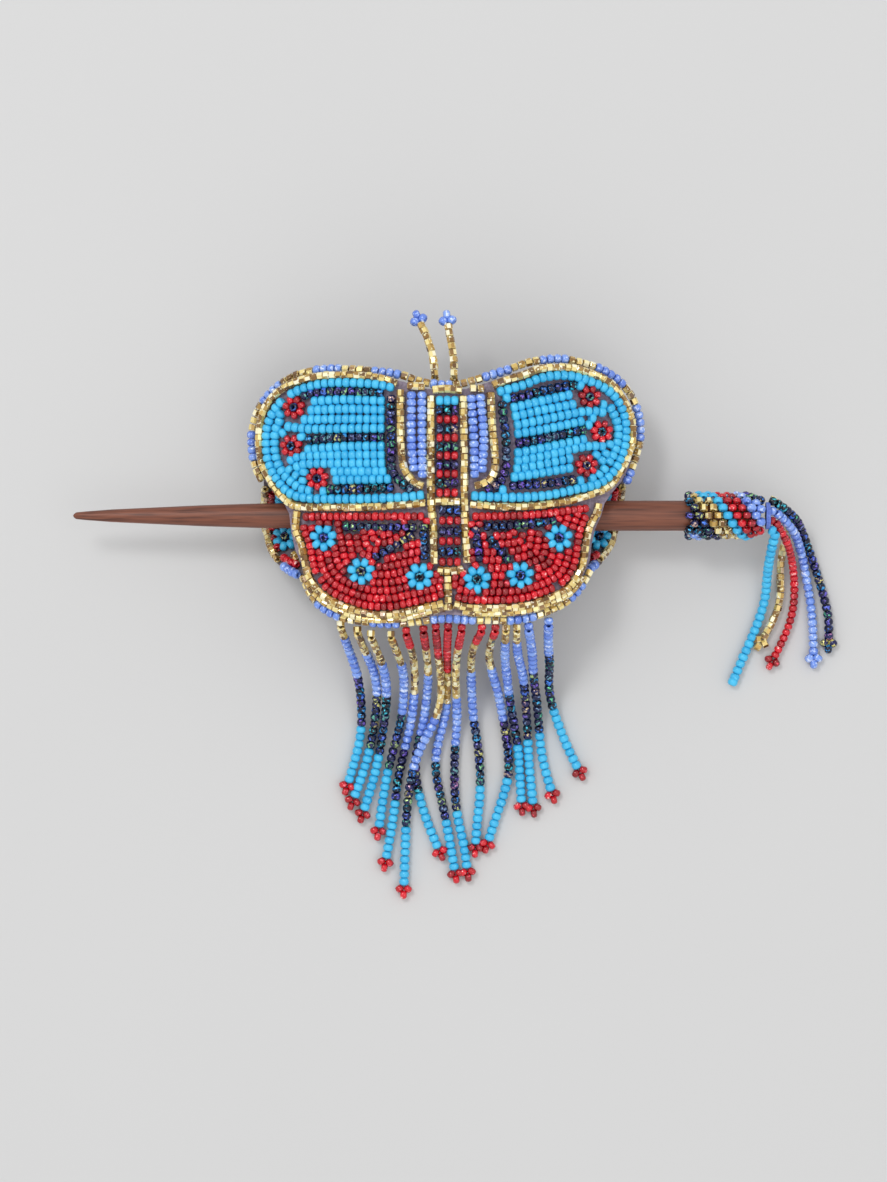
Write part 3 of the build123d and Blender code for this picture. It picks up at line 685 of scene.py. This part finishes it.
LEFT_COLUMNS = [[(-7.8, 26.9), (-7.8, 16), (-7.2, 9.4)], [(-5.5, 26.9), (-5.5, 16), (-5.4, 8)]]
RIGHT_COLUMNS = [[(7.2, 26.4), (8, 17), (7.6, 9.2)], [(5.2, 26.2), (5.8, 17), (6, 8)]]
for side, columns in (("left", LEFT_COLUMNS), ("right", RIGHT_COLUMNS)):
    pad = [bead for column in columns for bead in bead_row(column, "periwinkle")]
    strung(f"{side}_thorax_columns", pad, "panel", [f"{side}_thorax_pad"])

# %% [markdown]
# ## Edging
# Beads stand all round the panel's cut edge, in groups of gold and periwinkle. Each mark is where
# one group ends and the next begins.

# %% edging
UPPER_LINE = [
    (-41, 7.6), (-42.2, 10.2), (-43, 13.2), (-43.3, 16.6), (-43, 20), (-41.9, 23.3), (-40, 26),
    (-37.4, 28.5), (-34, 30.6), (-30, 31.7), (-25, 32.1), (-20, 31.9), (-14.5, 31.3), (-10, 30.6),
    (-6.5, 29.4), (-3.4, 28.7), (0, 28.4), (3.4, 28.8), (8, 30.1), (13, 31.7), (17, 33.2),
    (21, 34), (25, 34.3), (29, 33.7), (33, 32.6), (36.5, 30.8), (39.5, 28.2), (41.5, 25),
    (42.6, 21.6), (42.8, 18), (42.2, 14.4), (41.2, 11.4), (40.2, 8.6), (39.5, 7.2),
]
UPPER_MARKS = [
    ("gold", (-43, 12.5)), ("periwinkle", (-43.3, 18.3)), ("gold", (-41, 24.8)),
    ("periwinkle", (-36.2, 29.4)), ("gold", (-29.8, 31.7)), ("periwinkle", (-23.8, 32.1)),
    ("gold", (-17.2, 31.7)), ("periwinkle", (-10.9, 30.8)), ("gold", (-4.7, 28.9)),
    ("periwinkle", (1.7, 28.5)), ("gold", (7.2, 29.9)), ("periwinkle", (13.7, 32)),
    ("gold", (19.8, 33.8)), ("periwinkle", (26.2, 34.2)), ("gold", (33, 32.6)),
    ("periwinkle", (38.6, 29.2)), ("gold", (42, 24)), ("periwinkle", (42.8, 16.6)),
    ("gold", (40.6, 10)), ("periwinkle", (39.5, 7.2)),
]
LOWER_LINE = [
    (-31.9, -13.2), (-30.7, -16), (-29, -18.9), (-26.4, -21), (-23, -22.6), (-19, -23.3),
    (-15, -23.75), (-11, -23.85), (-7, -23.5), (-3, -22.9), (0.5, -22.7), (4.5, -23), (9, -23.1),
    (14, -23.1), (18.5, -22.4), (22.5, -21), (26, -19.2), (28.6, -16.8), (30.4, -14.2),
    (31.6, -12),
]
LOWER_MARKS = [
    ("gold", (-29.3, -18.5)), ("periwinkle", (-23.9, -22.2)), ("gold", (-17.2, -23.8)),
    ("periwinkle", (-10.3, -24.1)), ("gold", (-3.4, -23)), ("periwinkle", (6.4, -23)),
    ("gold", (13.4, -23.1)), ("periwinkle", (19.9, -22)), ("gold", (26.2, -19.1)),
    ("periwinkle", (29.8, -15.2)), ("gold", (31.6, -12)),
]
EDGE_LIFT = -0.75  # the edging's beads sit beside the felt, not on it
EDGE_PITCH = 1.68


def edging(line, marks):
    """Beads along the edge, coloured by the group that each falls in."""
    flat = smooth_line(line)
    runs = np.concatenate([[0], np.cumsum(np.linalg.norm(np.diff(flat, axis=0), axis=1))])
    ends = [runs[np.linalg.norm(flat - np.array(p), axis=1).argmin()] for _, p in marks]
    made = []
    for place, way, out, _ in bead_row(line, "gold", EDGE_PITCH, EDGE_LIFT):
        at = runs[np.linalg.norm(flat - place[:2] / MM, axis=1).argmin()]
        group = next((i for i, end in enumerate(ends) if at <= end), len(marks) - 1)
        made.append((place, way, out, marks[group][0]))
    return made


strung("upper_edging", edging(UPPER_LINE, UPPER_MARKS), "panel", ["upper_edge_beads"])
strung("lower_edging", edging(LOWER_LINE, LOWER_MARKS), "panel", ["lower_edge_beads"])

# %% [markdown]
# ## Side flaps
# Each flap dips under the stick. Its rows follow its outer edge: periwinkle and gold outside,
# red inside, round half a turquoise flower.

# %% flaps
DIP = np.array([
    (10.8, 17.9), (8.2, 15.6), (5.9, 11.2), (3.6, 8.2), (0, 7.2), (-4, 7.7), (-8, 10.4),
    (-12, 14.2), (-16.6, 17.9),
])[::-1]  # (y, z) of the flap's upper face where it comes out from under the panel
FLAP_LIFT = 1.1  # a bead's centre above that face
FLAP_STANDING = 1.5  # the same for a flower's middle bead
FLAP_CLEAR = 1.3  # the least distance from a bead to any but the one before it
BLOOM_WIDE, BLOOM_TALL = 1.95, 2.1
NEAR = 0.6  # how far either side the slope is read


def on_flap(x, y, side, inner, slope, lift=FLAP_LIFT):
    """A plan point lifted off the flap's upper face, and the way that face looks."""
    height = np.interp(y, DIP[:, 0], DIP[:, 1]) - slope * (side * x - side * inner)
    ahead = np.interp(y + NEAR, DIP[:, 0], DIP[:, 1])
    behind = np.interp(y - NEAR, DIP[:, 0], DIP[:, 1])
    out = np.array([side * slope, -(ahead - behind) / (2 * NEAR), 1.0])
    out /= np.linalg.norm(out)
    return np.array([x, y, height]) + out * lift, out


LEFT_FLAP_LINES = [
    ("gold", [(-40.3, 7), (-40.4, 3), (-40.2, -2), (-39.6, -5), (-38.7, -8), (-37.2, -10.4)]),
    ("periwinkle", [(-36, -11.7), (-34.2, -12.9), (-32.4, -13.8)]),
    ("red", [(-38.6, 6), (-38.7, 2), (-38.5, -3), (-37.9, -6), (-36.8, -8.8), (-35, -10.6),
             (-32.6, -11.6)]),
    ("turquoise", [(-36.9, 6), (-37, 3), (-36.9, 0)]),
    ("red", [(-35, 5), (-35.1, 2), (-35.1, -1)]),
    ("gold", [(-33.6, -9.2), (-33, -10), (-32, -11)]),
]
RIGHT_FLAP_LINES = [
    ("gold", [(38.7, 7.4), (38.3, 4), (37.8, 1), (37, -2.6), (36.2, -6), (34.9, -8.6),
              (33.4, -10.2)]),
    ("periwinkle", [(32.6, -11.2), (31, -12.4), (29.8, -13.4)]),
    ("red", [(37.1, 6.8), (36.6, 4), (36, 0), (35.3, -3), (34.6, -6.6), (33.2, -8.8),
             (31.4, -10)]),
    ("turquoise", [(35.3, 6), (34.9, 4), (34.3, 1)]),
    ("red", [(33.5, 5), (33.1, 2), (32.9, -1)]),
]
for side_name, side, inner, slope, lines, bloom in (
    ("left", -1, -32.6, 0.62, LEFT_FLAP_LINES, (-35.5, -5.2)),
    ("right", 1, 31.9, 0.80, RIGHT_FLAP_LINES, (33.1, -4.9)),
):
    petals = []
    for i in range(PETALS):
        angle = 2 * math.pi * i / PETALS
        x, y = bloom[0] + BLOOM_WIDE * math.cos(angle), bloom[1] + BLOOM_TALL * math.sin(angle)
        place, out = on_flap(x, y, side, inner, slope)
        along = np.array([-math.sin(angle), math.cos(angle), 0])
        petals.append((place * MM, along, out, "turquoise"))
    place, out = on_flap(*bloom, side, inner, slope, FLAP_STANDING)
    petals.append((place * MM, out, np.array([0, 1, 0]), "iris"))
    rows = []
    for colour, points in lines:
        line = np.array([on_flap(x, y, side, inner, slope)[0] for x, y in smooth_line(points)])
        for centre, way in spaced(line, PITCH[colour]):
            out = on_flap(centre[0], centre[1], side, inner, slope)[1]
            far = min(np.linalg.norm(centre * MM - p[0]) for p in petals + rows[:-1])
            if far > FLAP_CLEAR * MM:
                rows.append((centre * MM, way, out, colour))
    strung(f"{side_name}_flap_rows", rows, "panel", [f"{side_name}_flap_beads"])
    strung(f"{side_name}_flap_bloom", petals, "panel", [f"{side_name}_flap_flower"])

# %% [markdown]
# ## Stick and sleeve
# The stick is turned wood with a long taper. The sleeve is a tube of beads whose holes run round
# it: columns side by side, each half a bead on from the last, in stripes that wind round.

# %% stick
STICK_HEIGHT = (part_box("wood_stick")[0][2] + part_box("wood_stick")[1][2]) / 2 / MM
STICK_OUTLINE = [
    (-83, 0.02), (-82.8, 0.4), (-82.3, 0.75), (-80, 0.98), (-74.4, 1.4), (-64.7, 1.85),
    (-55, 2.3), (-42, 2.72), (-26, 2.95), (-10, 3.12), (10, 3.26), (30, 3.35), (50, 3.35),
    (69.4, 3.35), (69.5, 0.02),
]
points, sides = spun([(x * MM, r * MM) for x, r in STICK_OUTLINE], 48)
mesh = bpy.data.meshes.new("turned_stick")
mesh.from_pydata((points + [0, 0, STICK_HEIGHT * MM]).tolist(), [], sides)
mesh.polygons.foreach_set("use_smooth", [True] * len(mesh.polygons))
mesh.materials.append(WOOD)
turned = bpy.data.objects.new("turned_stick", mesh)
bpy.context.scene.collection.objects.link(turned)
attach(turned, "stick")
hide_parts("wood_stick")

SLEEVE_START, SLEEVE_END = (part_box("bead_sleeve")[k][0] / MM for k in (0, 1))
SLEEVE_COLUMNS = 16
SLEEVE_RADIUS = 4.4  # to a bead's centre
SLEEVE_STEP = 2.1  # from one bead to the next along a column
FIRST_BEAD = 1.15  # a column's first bead is this far from the start
LAST_BEAD = 0.9  # and its last at least this far from the end
DARK_RING = 1.9  # a bead this near the start is dark
TAPER = 2.2  # a bead this near the end is drawn in
DRAWN_IN = 0.75
STRIPE_SHIFT = 0.3  # moves every stripe along the sleeve
STRIPES = ["gold", "turquoise", "red", "periwinkle", "iris"]
STRIPE = 3.5
WIND = STRIPE * len(STRIPES) / (2 * math.pi)
sleeve = []
for column in range(SLEEVE_COLUMNS):
    angle = 2 * math.pi * column / SLEEVE_COLUMNS
    y, z = math.cos(angle), math.sin(angle)
    x = SLEEVE_START + FIRST_BEAD + (column % 2) * SLEEVE_STEP / 2
    while x < SLEEVE_END - LAST_BEAD:
        narrow = DRAWN_IN if x > SLEEVE_END - TAPER else 0.0
        radius = SLEEVE_RADIUS - narrow
        place = np.array([x, radius * y, STICK_HEIGHT + radius * z])
        wound = x - SLEEVE_START + STRIPE_SHIFT - WIND * angle
        colour = STRIPES[int(wound // STRIPE) % len(STRIPES)]
        if x < SLEEVE_START + DARK_RING:
            colour = "iris"
        sleeve.append((place * MM, (0, -z, y), (0, y, z), colour))
        x += SLEEVE_STEP
strung("peyote_sleeve", sleeve, "stick", ["bead_sleeve"])

# %% [markdown]
# ## Strings of beads
# Each string follows a smooth line whose control points are the route of its CAD tube. Beads sit
# on that line end to end. A fringe string changes colour on its way down, and a tassel string has
# one colour. A string is a limp cord and ends in three beads, or in one if its tip is turquoise.

# %% strings
STRAND = 2.0
FLOOR_LAY = STRAND / 2 + 0.05
FRINGE = [
    [(-23.4, -24.6), (-22.2, -28.6), (-20.6, -33), (-19.5, -38), (-19.1, -43.5), (-19.3, -49),
     (-20.6, -54.5), (-22.2, -59.7)],
    [(-19.7, -26), (-18.1, -30.2), (-16.2, -34.4), (-15.5, -39.5), (-16.1, -45), (-17, -51),
     (-18.7, -57.2), (-20.9, -63.1)],
    [(-16.7, -26.9), (-15, -31), (-13.7, -35.2), (-13.4, -40.5), (-14.1, -46.5), (-15.1, -53),
     (-16.6, -59.6), (-18.7, -66)],
    [(-12.3, -27), (-10.7, -31), (-9.5, -35.2), (-9.7, -40.5), (-10.3, -46), (-12, -52),
     (-13.5, -58), (-14.5, -64), (-15.3, -69.8)],
    [(-9, -26.2), (-7.5, -30.5), (-7.1, -35.5), (-7.4, -41), (-8.2, -47), (-9.7, -53),
     (-11.1, -59), (-11.7, -65), (-12.6, -71), (-13.7, -76.8)],
    [(-5.2, -25.8), (-4.5, -30.3), (-4.1, -35.5), (-4.6, -41.5), (-5.4, -47), (-6.9, -52.4),
     (-7.2, -57.5), (-6.2, -63), (-4.4, -69), (-2, -74.5)],
    [(-2.5, -25.3), (-2.1, -30), (-1.4, -35.5, 1.5), (-1.3, -41, 1.5), (-2.9, -46.3, 1.4),
     (-5.6, -51, 2.4), (-7.6, -56, 2.4), (-8.6, -61.8, 0.8), (-9.2, -68), (-9.4, -75.5),
     (-9.7, -82.8)],
    [(0.2, -25.2), (-0.1, -30), (0.2, -35.5), (0.1, -41), (-0.8, -46.5), (-2.4, -52),
     (-2.7, -57.5), (-1.4, -63), (-0.2, -68.5), (0.8, -74), (1.7, -79.4)],
    [(3.2, -25.5), (2.2, -30, 0.4), (1.9, -35.5, 1.5), (2.1, -41, 1.2), (2.3, -46.2),
     (1.8, -51.7), (1.6, -57.5), (1.8, -63.5), (2.6, -69), (3.9, -74), (4.5, -79)],
    [(7.6, -25.5), (5.4, -29.2), (5.3, -34.5), (5.5, -40), (5.9, -45.5), (7, -51.5),
     (7.5, -57.5), (7.4, -63.5), (6.7, -68.6), (6.4, -73.6)],
    [(10.6, -25.5), (8.9, -29.5), (9.9, -34.5), (11.5, -39.5), (12.6, -45.5), (13.6, -51.5),
     (14, -57.5), (12.6, -63), (10.8, -68), (9.3, -72.8)],
    [(12.9, -25.6), (12.6, -30.5), (13.3, -35.5), (14, -41), (15, -46.4), (16, -52),
     (16.3, -58.2), (16.7, -64.2)],
    [(15.3, -25.6), (15.3, -30), (16.9, -35), (17.5, -40.5), (18, -46.5), (18.2, -52.5),
     (18.7, -58.7), (19.3, -64.6)],
    [(17.9, -25.3), (18.9, -30), (19.1, -35), (20, -40.5), (20.6, -46.5), (21, -52.3),
     (22.1, -57.3), (23.4, -61.6)],
    [(22.3, -24.2), (22.3, -28.5), (22.9, -33), (22.6, -38), (23.6, -42.8), (25.4, -47.8),
     (27.2, -52.3), (29.4, -56.6)],
]
# Where the red ends at the top, and where gold, periwinkle and iris end; turquoise is the rest.
CHANGES = [
    (0, -26.8, -34.8, -46.3), (0, -29.8, -39, -51), (0, -32, -40.3, -53), (0, -32.5, -43, -55.5),
    (-28.8, -38.8, -51, -63.3), (-29.2, -35, -48, -61.8), (-30.8, -45, -56.7, -69.3),
    (-33.7, -41.5, -53.8, -67), (-28.5, -40, -51.5, -65.3), (-28, -33.6, -45.7, -59.2),
    (-26.3, -33.6, -46, -59), (0, -27.8, -39, -51.7), (0, -27.5, -37.5, -50), (0, 0, -34, -46.6),
    (0, 0, -30.5, -43),
]
ORDER = ["red", "gold", "periwinkle", "iris", "turquoise"]
GROUPS = [("fringe_left", 5), ("fringe_middle", 9), ("fringe_right", 15)]
# From a string's first point to the bead that joins it to what it hangs from.
FRINGE_ROOT = (0, 0.9, 0.0)
TASSEL_ROOT = (-0.75, 0.3, 0.0)
FRINGE_FALL = 26.0  # how far along its run a string reaches the table
EDGE_RADIUS = 79.95  # the arch radius at the middle of the edging
EDGE_DROP = 0.9  # a root's depth below that
TASSEL = [
    [(72.9, -3.6), (72, -8), (71.6, -13), (71.6, -18), (70.2, -22.8), (68.3, -27.5),
     (66.2, -32.2), (64.3, -36.8)],
    [(73.2, 3.2), (76, 0.4), (76.2, -4.2), (75, -8.6), (74.8, -13), (75, -18), (73.6, -23),
     (70.9, -27.4)],
    [(72.9, -1.4), (75.6, -5.2), (77.3, -10), (78.1, -15.5), (77.8, -21), (76.1, -26.6),
     (73.4, -31.7)],
    [(73, 0.7), (76.9, -2.4), (79.2, -7.4), (80.6, -13.4), (81.7, -19.6), (82.2, -25.6),
     (82.3, -31)],
    [(73, 2.9), (77.6, 0.2), (80.2, -5), (82.6, -11.2), (84.5, -17.6), (85.9, -23),
     (85.7, -27.6)],
]
TASSEL_COLOURS = ["turquoise", "gold", "red", "periwinkle", "iris"]
TASSEL_FALL = 15.0
TASSEL_ROOTS = [13.2, 10.2, 13.2, 13.2, 13.2]
OUT = np.array([0, 0.3, 1.0])  # the way a string's beads face
REMAINDER = 0.7  # a line with more than this left takes one more bead
PICOT_AHEAD = 0.75  # a tip's first two beads are this far on from the end
PICOT_APART = 0.95  # and this far to each side
PICOT_TURN = 0.7  # and their holes turn this much towards the third bead
PICOT_END = 2.1  # the third bead is this far on


def laid(points, root, fall, ease):
    """A string's control points: its root's height, eased down to the floor over its fall."""
    route = []
    run = 0.0
    last = points[0]
    for x, y, *lift in points:
        run += math.hypot(x - last[0], y - last[1])
        last = (x, y)
        share = ease(min(run / fall, 1.0))
        height = FLOOR_LAY + (root - FLOOR_LAY) * share + (lift[0] if lift else 0)
        route.append((x * MM, y * MM, height * MM))
    return route


def hanging(t):
    """Steep at the root, flat on the table."""
    return (1 - t) ** 2


def bending(t):
    """Level at the root, steep halfway, flat on the table."""
    return (1 + math.cos(math.pi * t)) / 2


def smooth_route(route):
    """Points along the NURBS line that has the route as its control points."""
    data = bpy.data.curves.new("route", "CURVE")
    data.dimensions = "3D"
    data.resolution_u = 24
    spline = data.splines.new("NURBS")
    spline.points.add(len(route) - 1)
    for point, place in zip(spline.points, route):
        point.co = (*place, 1.0)
    spline.order_u = 3
    spline.use_endpoint_u = True
    guide = bpy.data.objects.new("route", data)
    bpy.context.scene.collection.objects.link(guide)
    bpy.context.view_layer.update()
    mesh = bpy.data.meshes.new_from_object(guide)
    line = np.array([v.co[:] for v in mesh.vertices])
    bpy.data.objects.remove(guide)
    bpy.data.meshes.remove(mesh)
    return line


def threaded(line, colour_at):
    """Beads end to end along a line, their holes along it, each as long as its colour's pitch."""
    runs = np.concatenate([[0], np.cumsum(np.linalg.norm(np.diff(line, axis=0), axis=1))])

    def point_at(run):
        return np.array([np.interp(run, runs, line[:, k]) for k in range(3)])

    starts, colours = [0.0], []
    while starts[-1] < runs[-1] - REMAINDER * MM:
        colours.append(colour_at(point_at(starts[-1]) / MM))
        starts.append(starts[-1] + PITCH[colours[-1]] * MM)
    fit = runs[-1] / starts[-1]
    made = []
    for low, high, colour in zip(starts, starts[1:], colours):
        ends = point_at(low * fit), point_at(high * fit)
        made.append(((ends[0] + ends[1]) / 2, ends[1] - ends[0], OUT, colour))
    return made


def picot(line, colour):
    """Three beads beyond a string's end: two side by side and one across."""
    end, way = line[-1], line[-1] - line[-4]
    way = way / np.linalg.norm(way)
    across = np.cross(way, [0, 0, 1.0])
    across /= np.linalg.norm(across)
    up = np.array([0, 0, 1.0])
    return [
        (end + way * PICOT_AHEAD * MM - across * PICOT_APART * MM, way + across * PICOT_TURN, up,
         colour),
        (end + way * PICOT_AHEAD * MM + across * PICOT_APART * MM, way - across * PICOT_TURN, up,
         colour),
        (end + way * PICOT_END * MM, across, up, colour),
    ]


def string(name, node, body, route, colour_at, tip, root):
    """A string of beads, the bead that joins it to what it hangs from, and its tip."""
    line = smooth_route(route)
    beads = threaded(line, colour_at)
    beads.append((line[0] + np.array(root) * MM, root, OUT, beads[0][3]))
    piece = strung(name, beads, body, [node])
    last = picot(line, tip)
    if tip == "turquoise":
        last = [(line[-1] + (line[-1] - line[-2]), line[-1] - line[-2], np.array([0, 0, 1.0]), tip)]
    ends = strung(f"{name}_tip", last, body, [])


def fringe_colour(changes):
    """What colour a fringe string is at a place, from where its colours change."""
    def colour_at(place):
        for end, colour in zip(changes, ORDER):
            if end and place[1] > end:
                return colour
        return ORDER[-1]
    return colour_at


for number, (points, changes) in enumerate(zip(FRINGE, CHANGES), start=1):
    body = next(name for name, last in GROUPS if number <= last)
    root = ARCH_CENTRE + math.sqrt(EDGE_RADIUS**2 - points[0][0] ** 2) - EDGE_DROP
    route = laid(points, root, FRINGE_FALL, hanging)
    string(f"fringe_string_{number:02}", f"fringe_strand_{number:02}", body, route,
           fringe_colour(changes), "red", FRINGE_ROOT)

for number, (points, root) in enumerate(zip(TASSEL, TASSEL_ROOTS), start=1):
    colour = TASSEL_COLOURS[number - 1]
    string(f"tassel_string_{number}", f"tassel_strand_{number}", "tassel",
           laid(points, root, TASSEL_FALL, bending), lambda place, c=colour: c, colour,
           TASSEL_ROOT)

# %% [markdown]
# ## Antennae
# Two short, stiff strings of gold beads with periwinkle tips. The first bead of each is set low,
# so that it stays clear of the edging when the antenna bends.

# %% antennae
ANTENNAE = {
    "left": [(-2.7, 30.4, 25.4), (-3.1, 34.6, 25.0), (-4.3, 38.6, 24.2), (-5.9, 42.2, 23.0)],
    "right": [(1.5, 30.4, 25.5), (1.4, 34.6, 25.1), (0.7, 38.6, 24.3), (0.2, 42, 23.3)],
}
ANTENNA_ROOT = np.array([0, -0.65, -1.25]) * MM  # from an antenna's first point to its first bead
for side, points in ANTENNAE.items():
    line = smooth_line([np.array(p) * MM for p in points], 0.2 * MM)
    beads = threaded(line, lambda place: "gold") + picot(line, "periwinkle")
    root = line[0] + ANTENNA_ROOT
    beads.append((root, np.array([0, 0.6, 1.0]), np.array([0, -1.0, 0.6]), "gold"))
    strung(f"{side}_antenna_beads", beads, f"{side}_feeler", [f"{side}_antenna"])

# %% [markdown]
# ## Backing, floor and light
# The leather, the stiff sheet, the felt and the tassel's cap keep their CAD shapes and get their
# own materials. The floor is a pale table, lit softly from above.

# %% backing and floor
for node, material in (
    ("leather_backing", SUEDE), ("left_flap_backing", SUEDE), ("right_flap_backing", SUEDE),
    ("stiffener_sheet", CARD), ("beading_felt", FELT), ("tassel_knot", THREAD),
):
    materials_of_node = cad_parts[node].data.materials
    materials_of_node.clear()
    materials_of_node.append(material)

floor_mesh = bpy.data.meshes.new("table_top")
floor_mesh.from_pydata([(-2, -2, 0), (2, -2, 0), (2, 2, 0), (-2, 2, 0)], [], [(0, 1, 2, 3)])
floor_mesh.materials.append(plain_material(
    "pale_table", [(0.2, (200, 200, 200)), (0.8, (202, 202, 202))], (8, 8, 8), 0.8, 0.02
))
table = bpy.data.objects.new("table_top", floor_mesh)
table.location.z = -0.3 * MM  # just under the lowest bead
bpy.context.scene.collection.objects.link(table)
table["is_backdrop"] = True

ROOM_LIGHT = 0.86
AIM = Vector((0, -0.01, 0))  # both lamps point here
world = bpy.data.worlds.new("soft_room")
bpy.context.scene.world = world
world.use_nodes = True
world.node_tree.nodes["Background"].inputs["Color"].default_value = (1.0, 1.0, 1.0, 1.0)
world.node_tree.nodes["Background"].inputs["Strength"].default_value = ROOM_LIGHT
for name, place, size, power in (
    ("window_light", (-0.45, 0.6, 1.3), 0.35, 6.0),
    ("fill_light", (0.6, -0.4, 1.6), 1.2, 4.0),
):
    data = bpy.data.lights.new(name, "AREA")
    data.size = size
    data.energy = power
    lamp = bpy.data.objects.new(name, data)
    lamp.location = place
    lamp.rotation_euler = (AIM - Vector(place)).to_track_quat("-Z", "Y").to_euler()
    bpy.context.scene.collection.objects.link(lamp)
    lamp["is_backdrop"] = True
bpy.context.scene.view_settings.view_transform = "Standard"

size_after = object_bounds()
boxes = [[list(map(float, corner)) for corner in box] for box in (size_before, size_after)]
print("size before", size_before, "after", size_after)
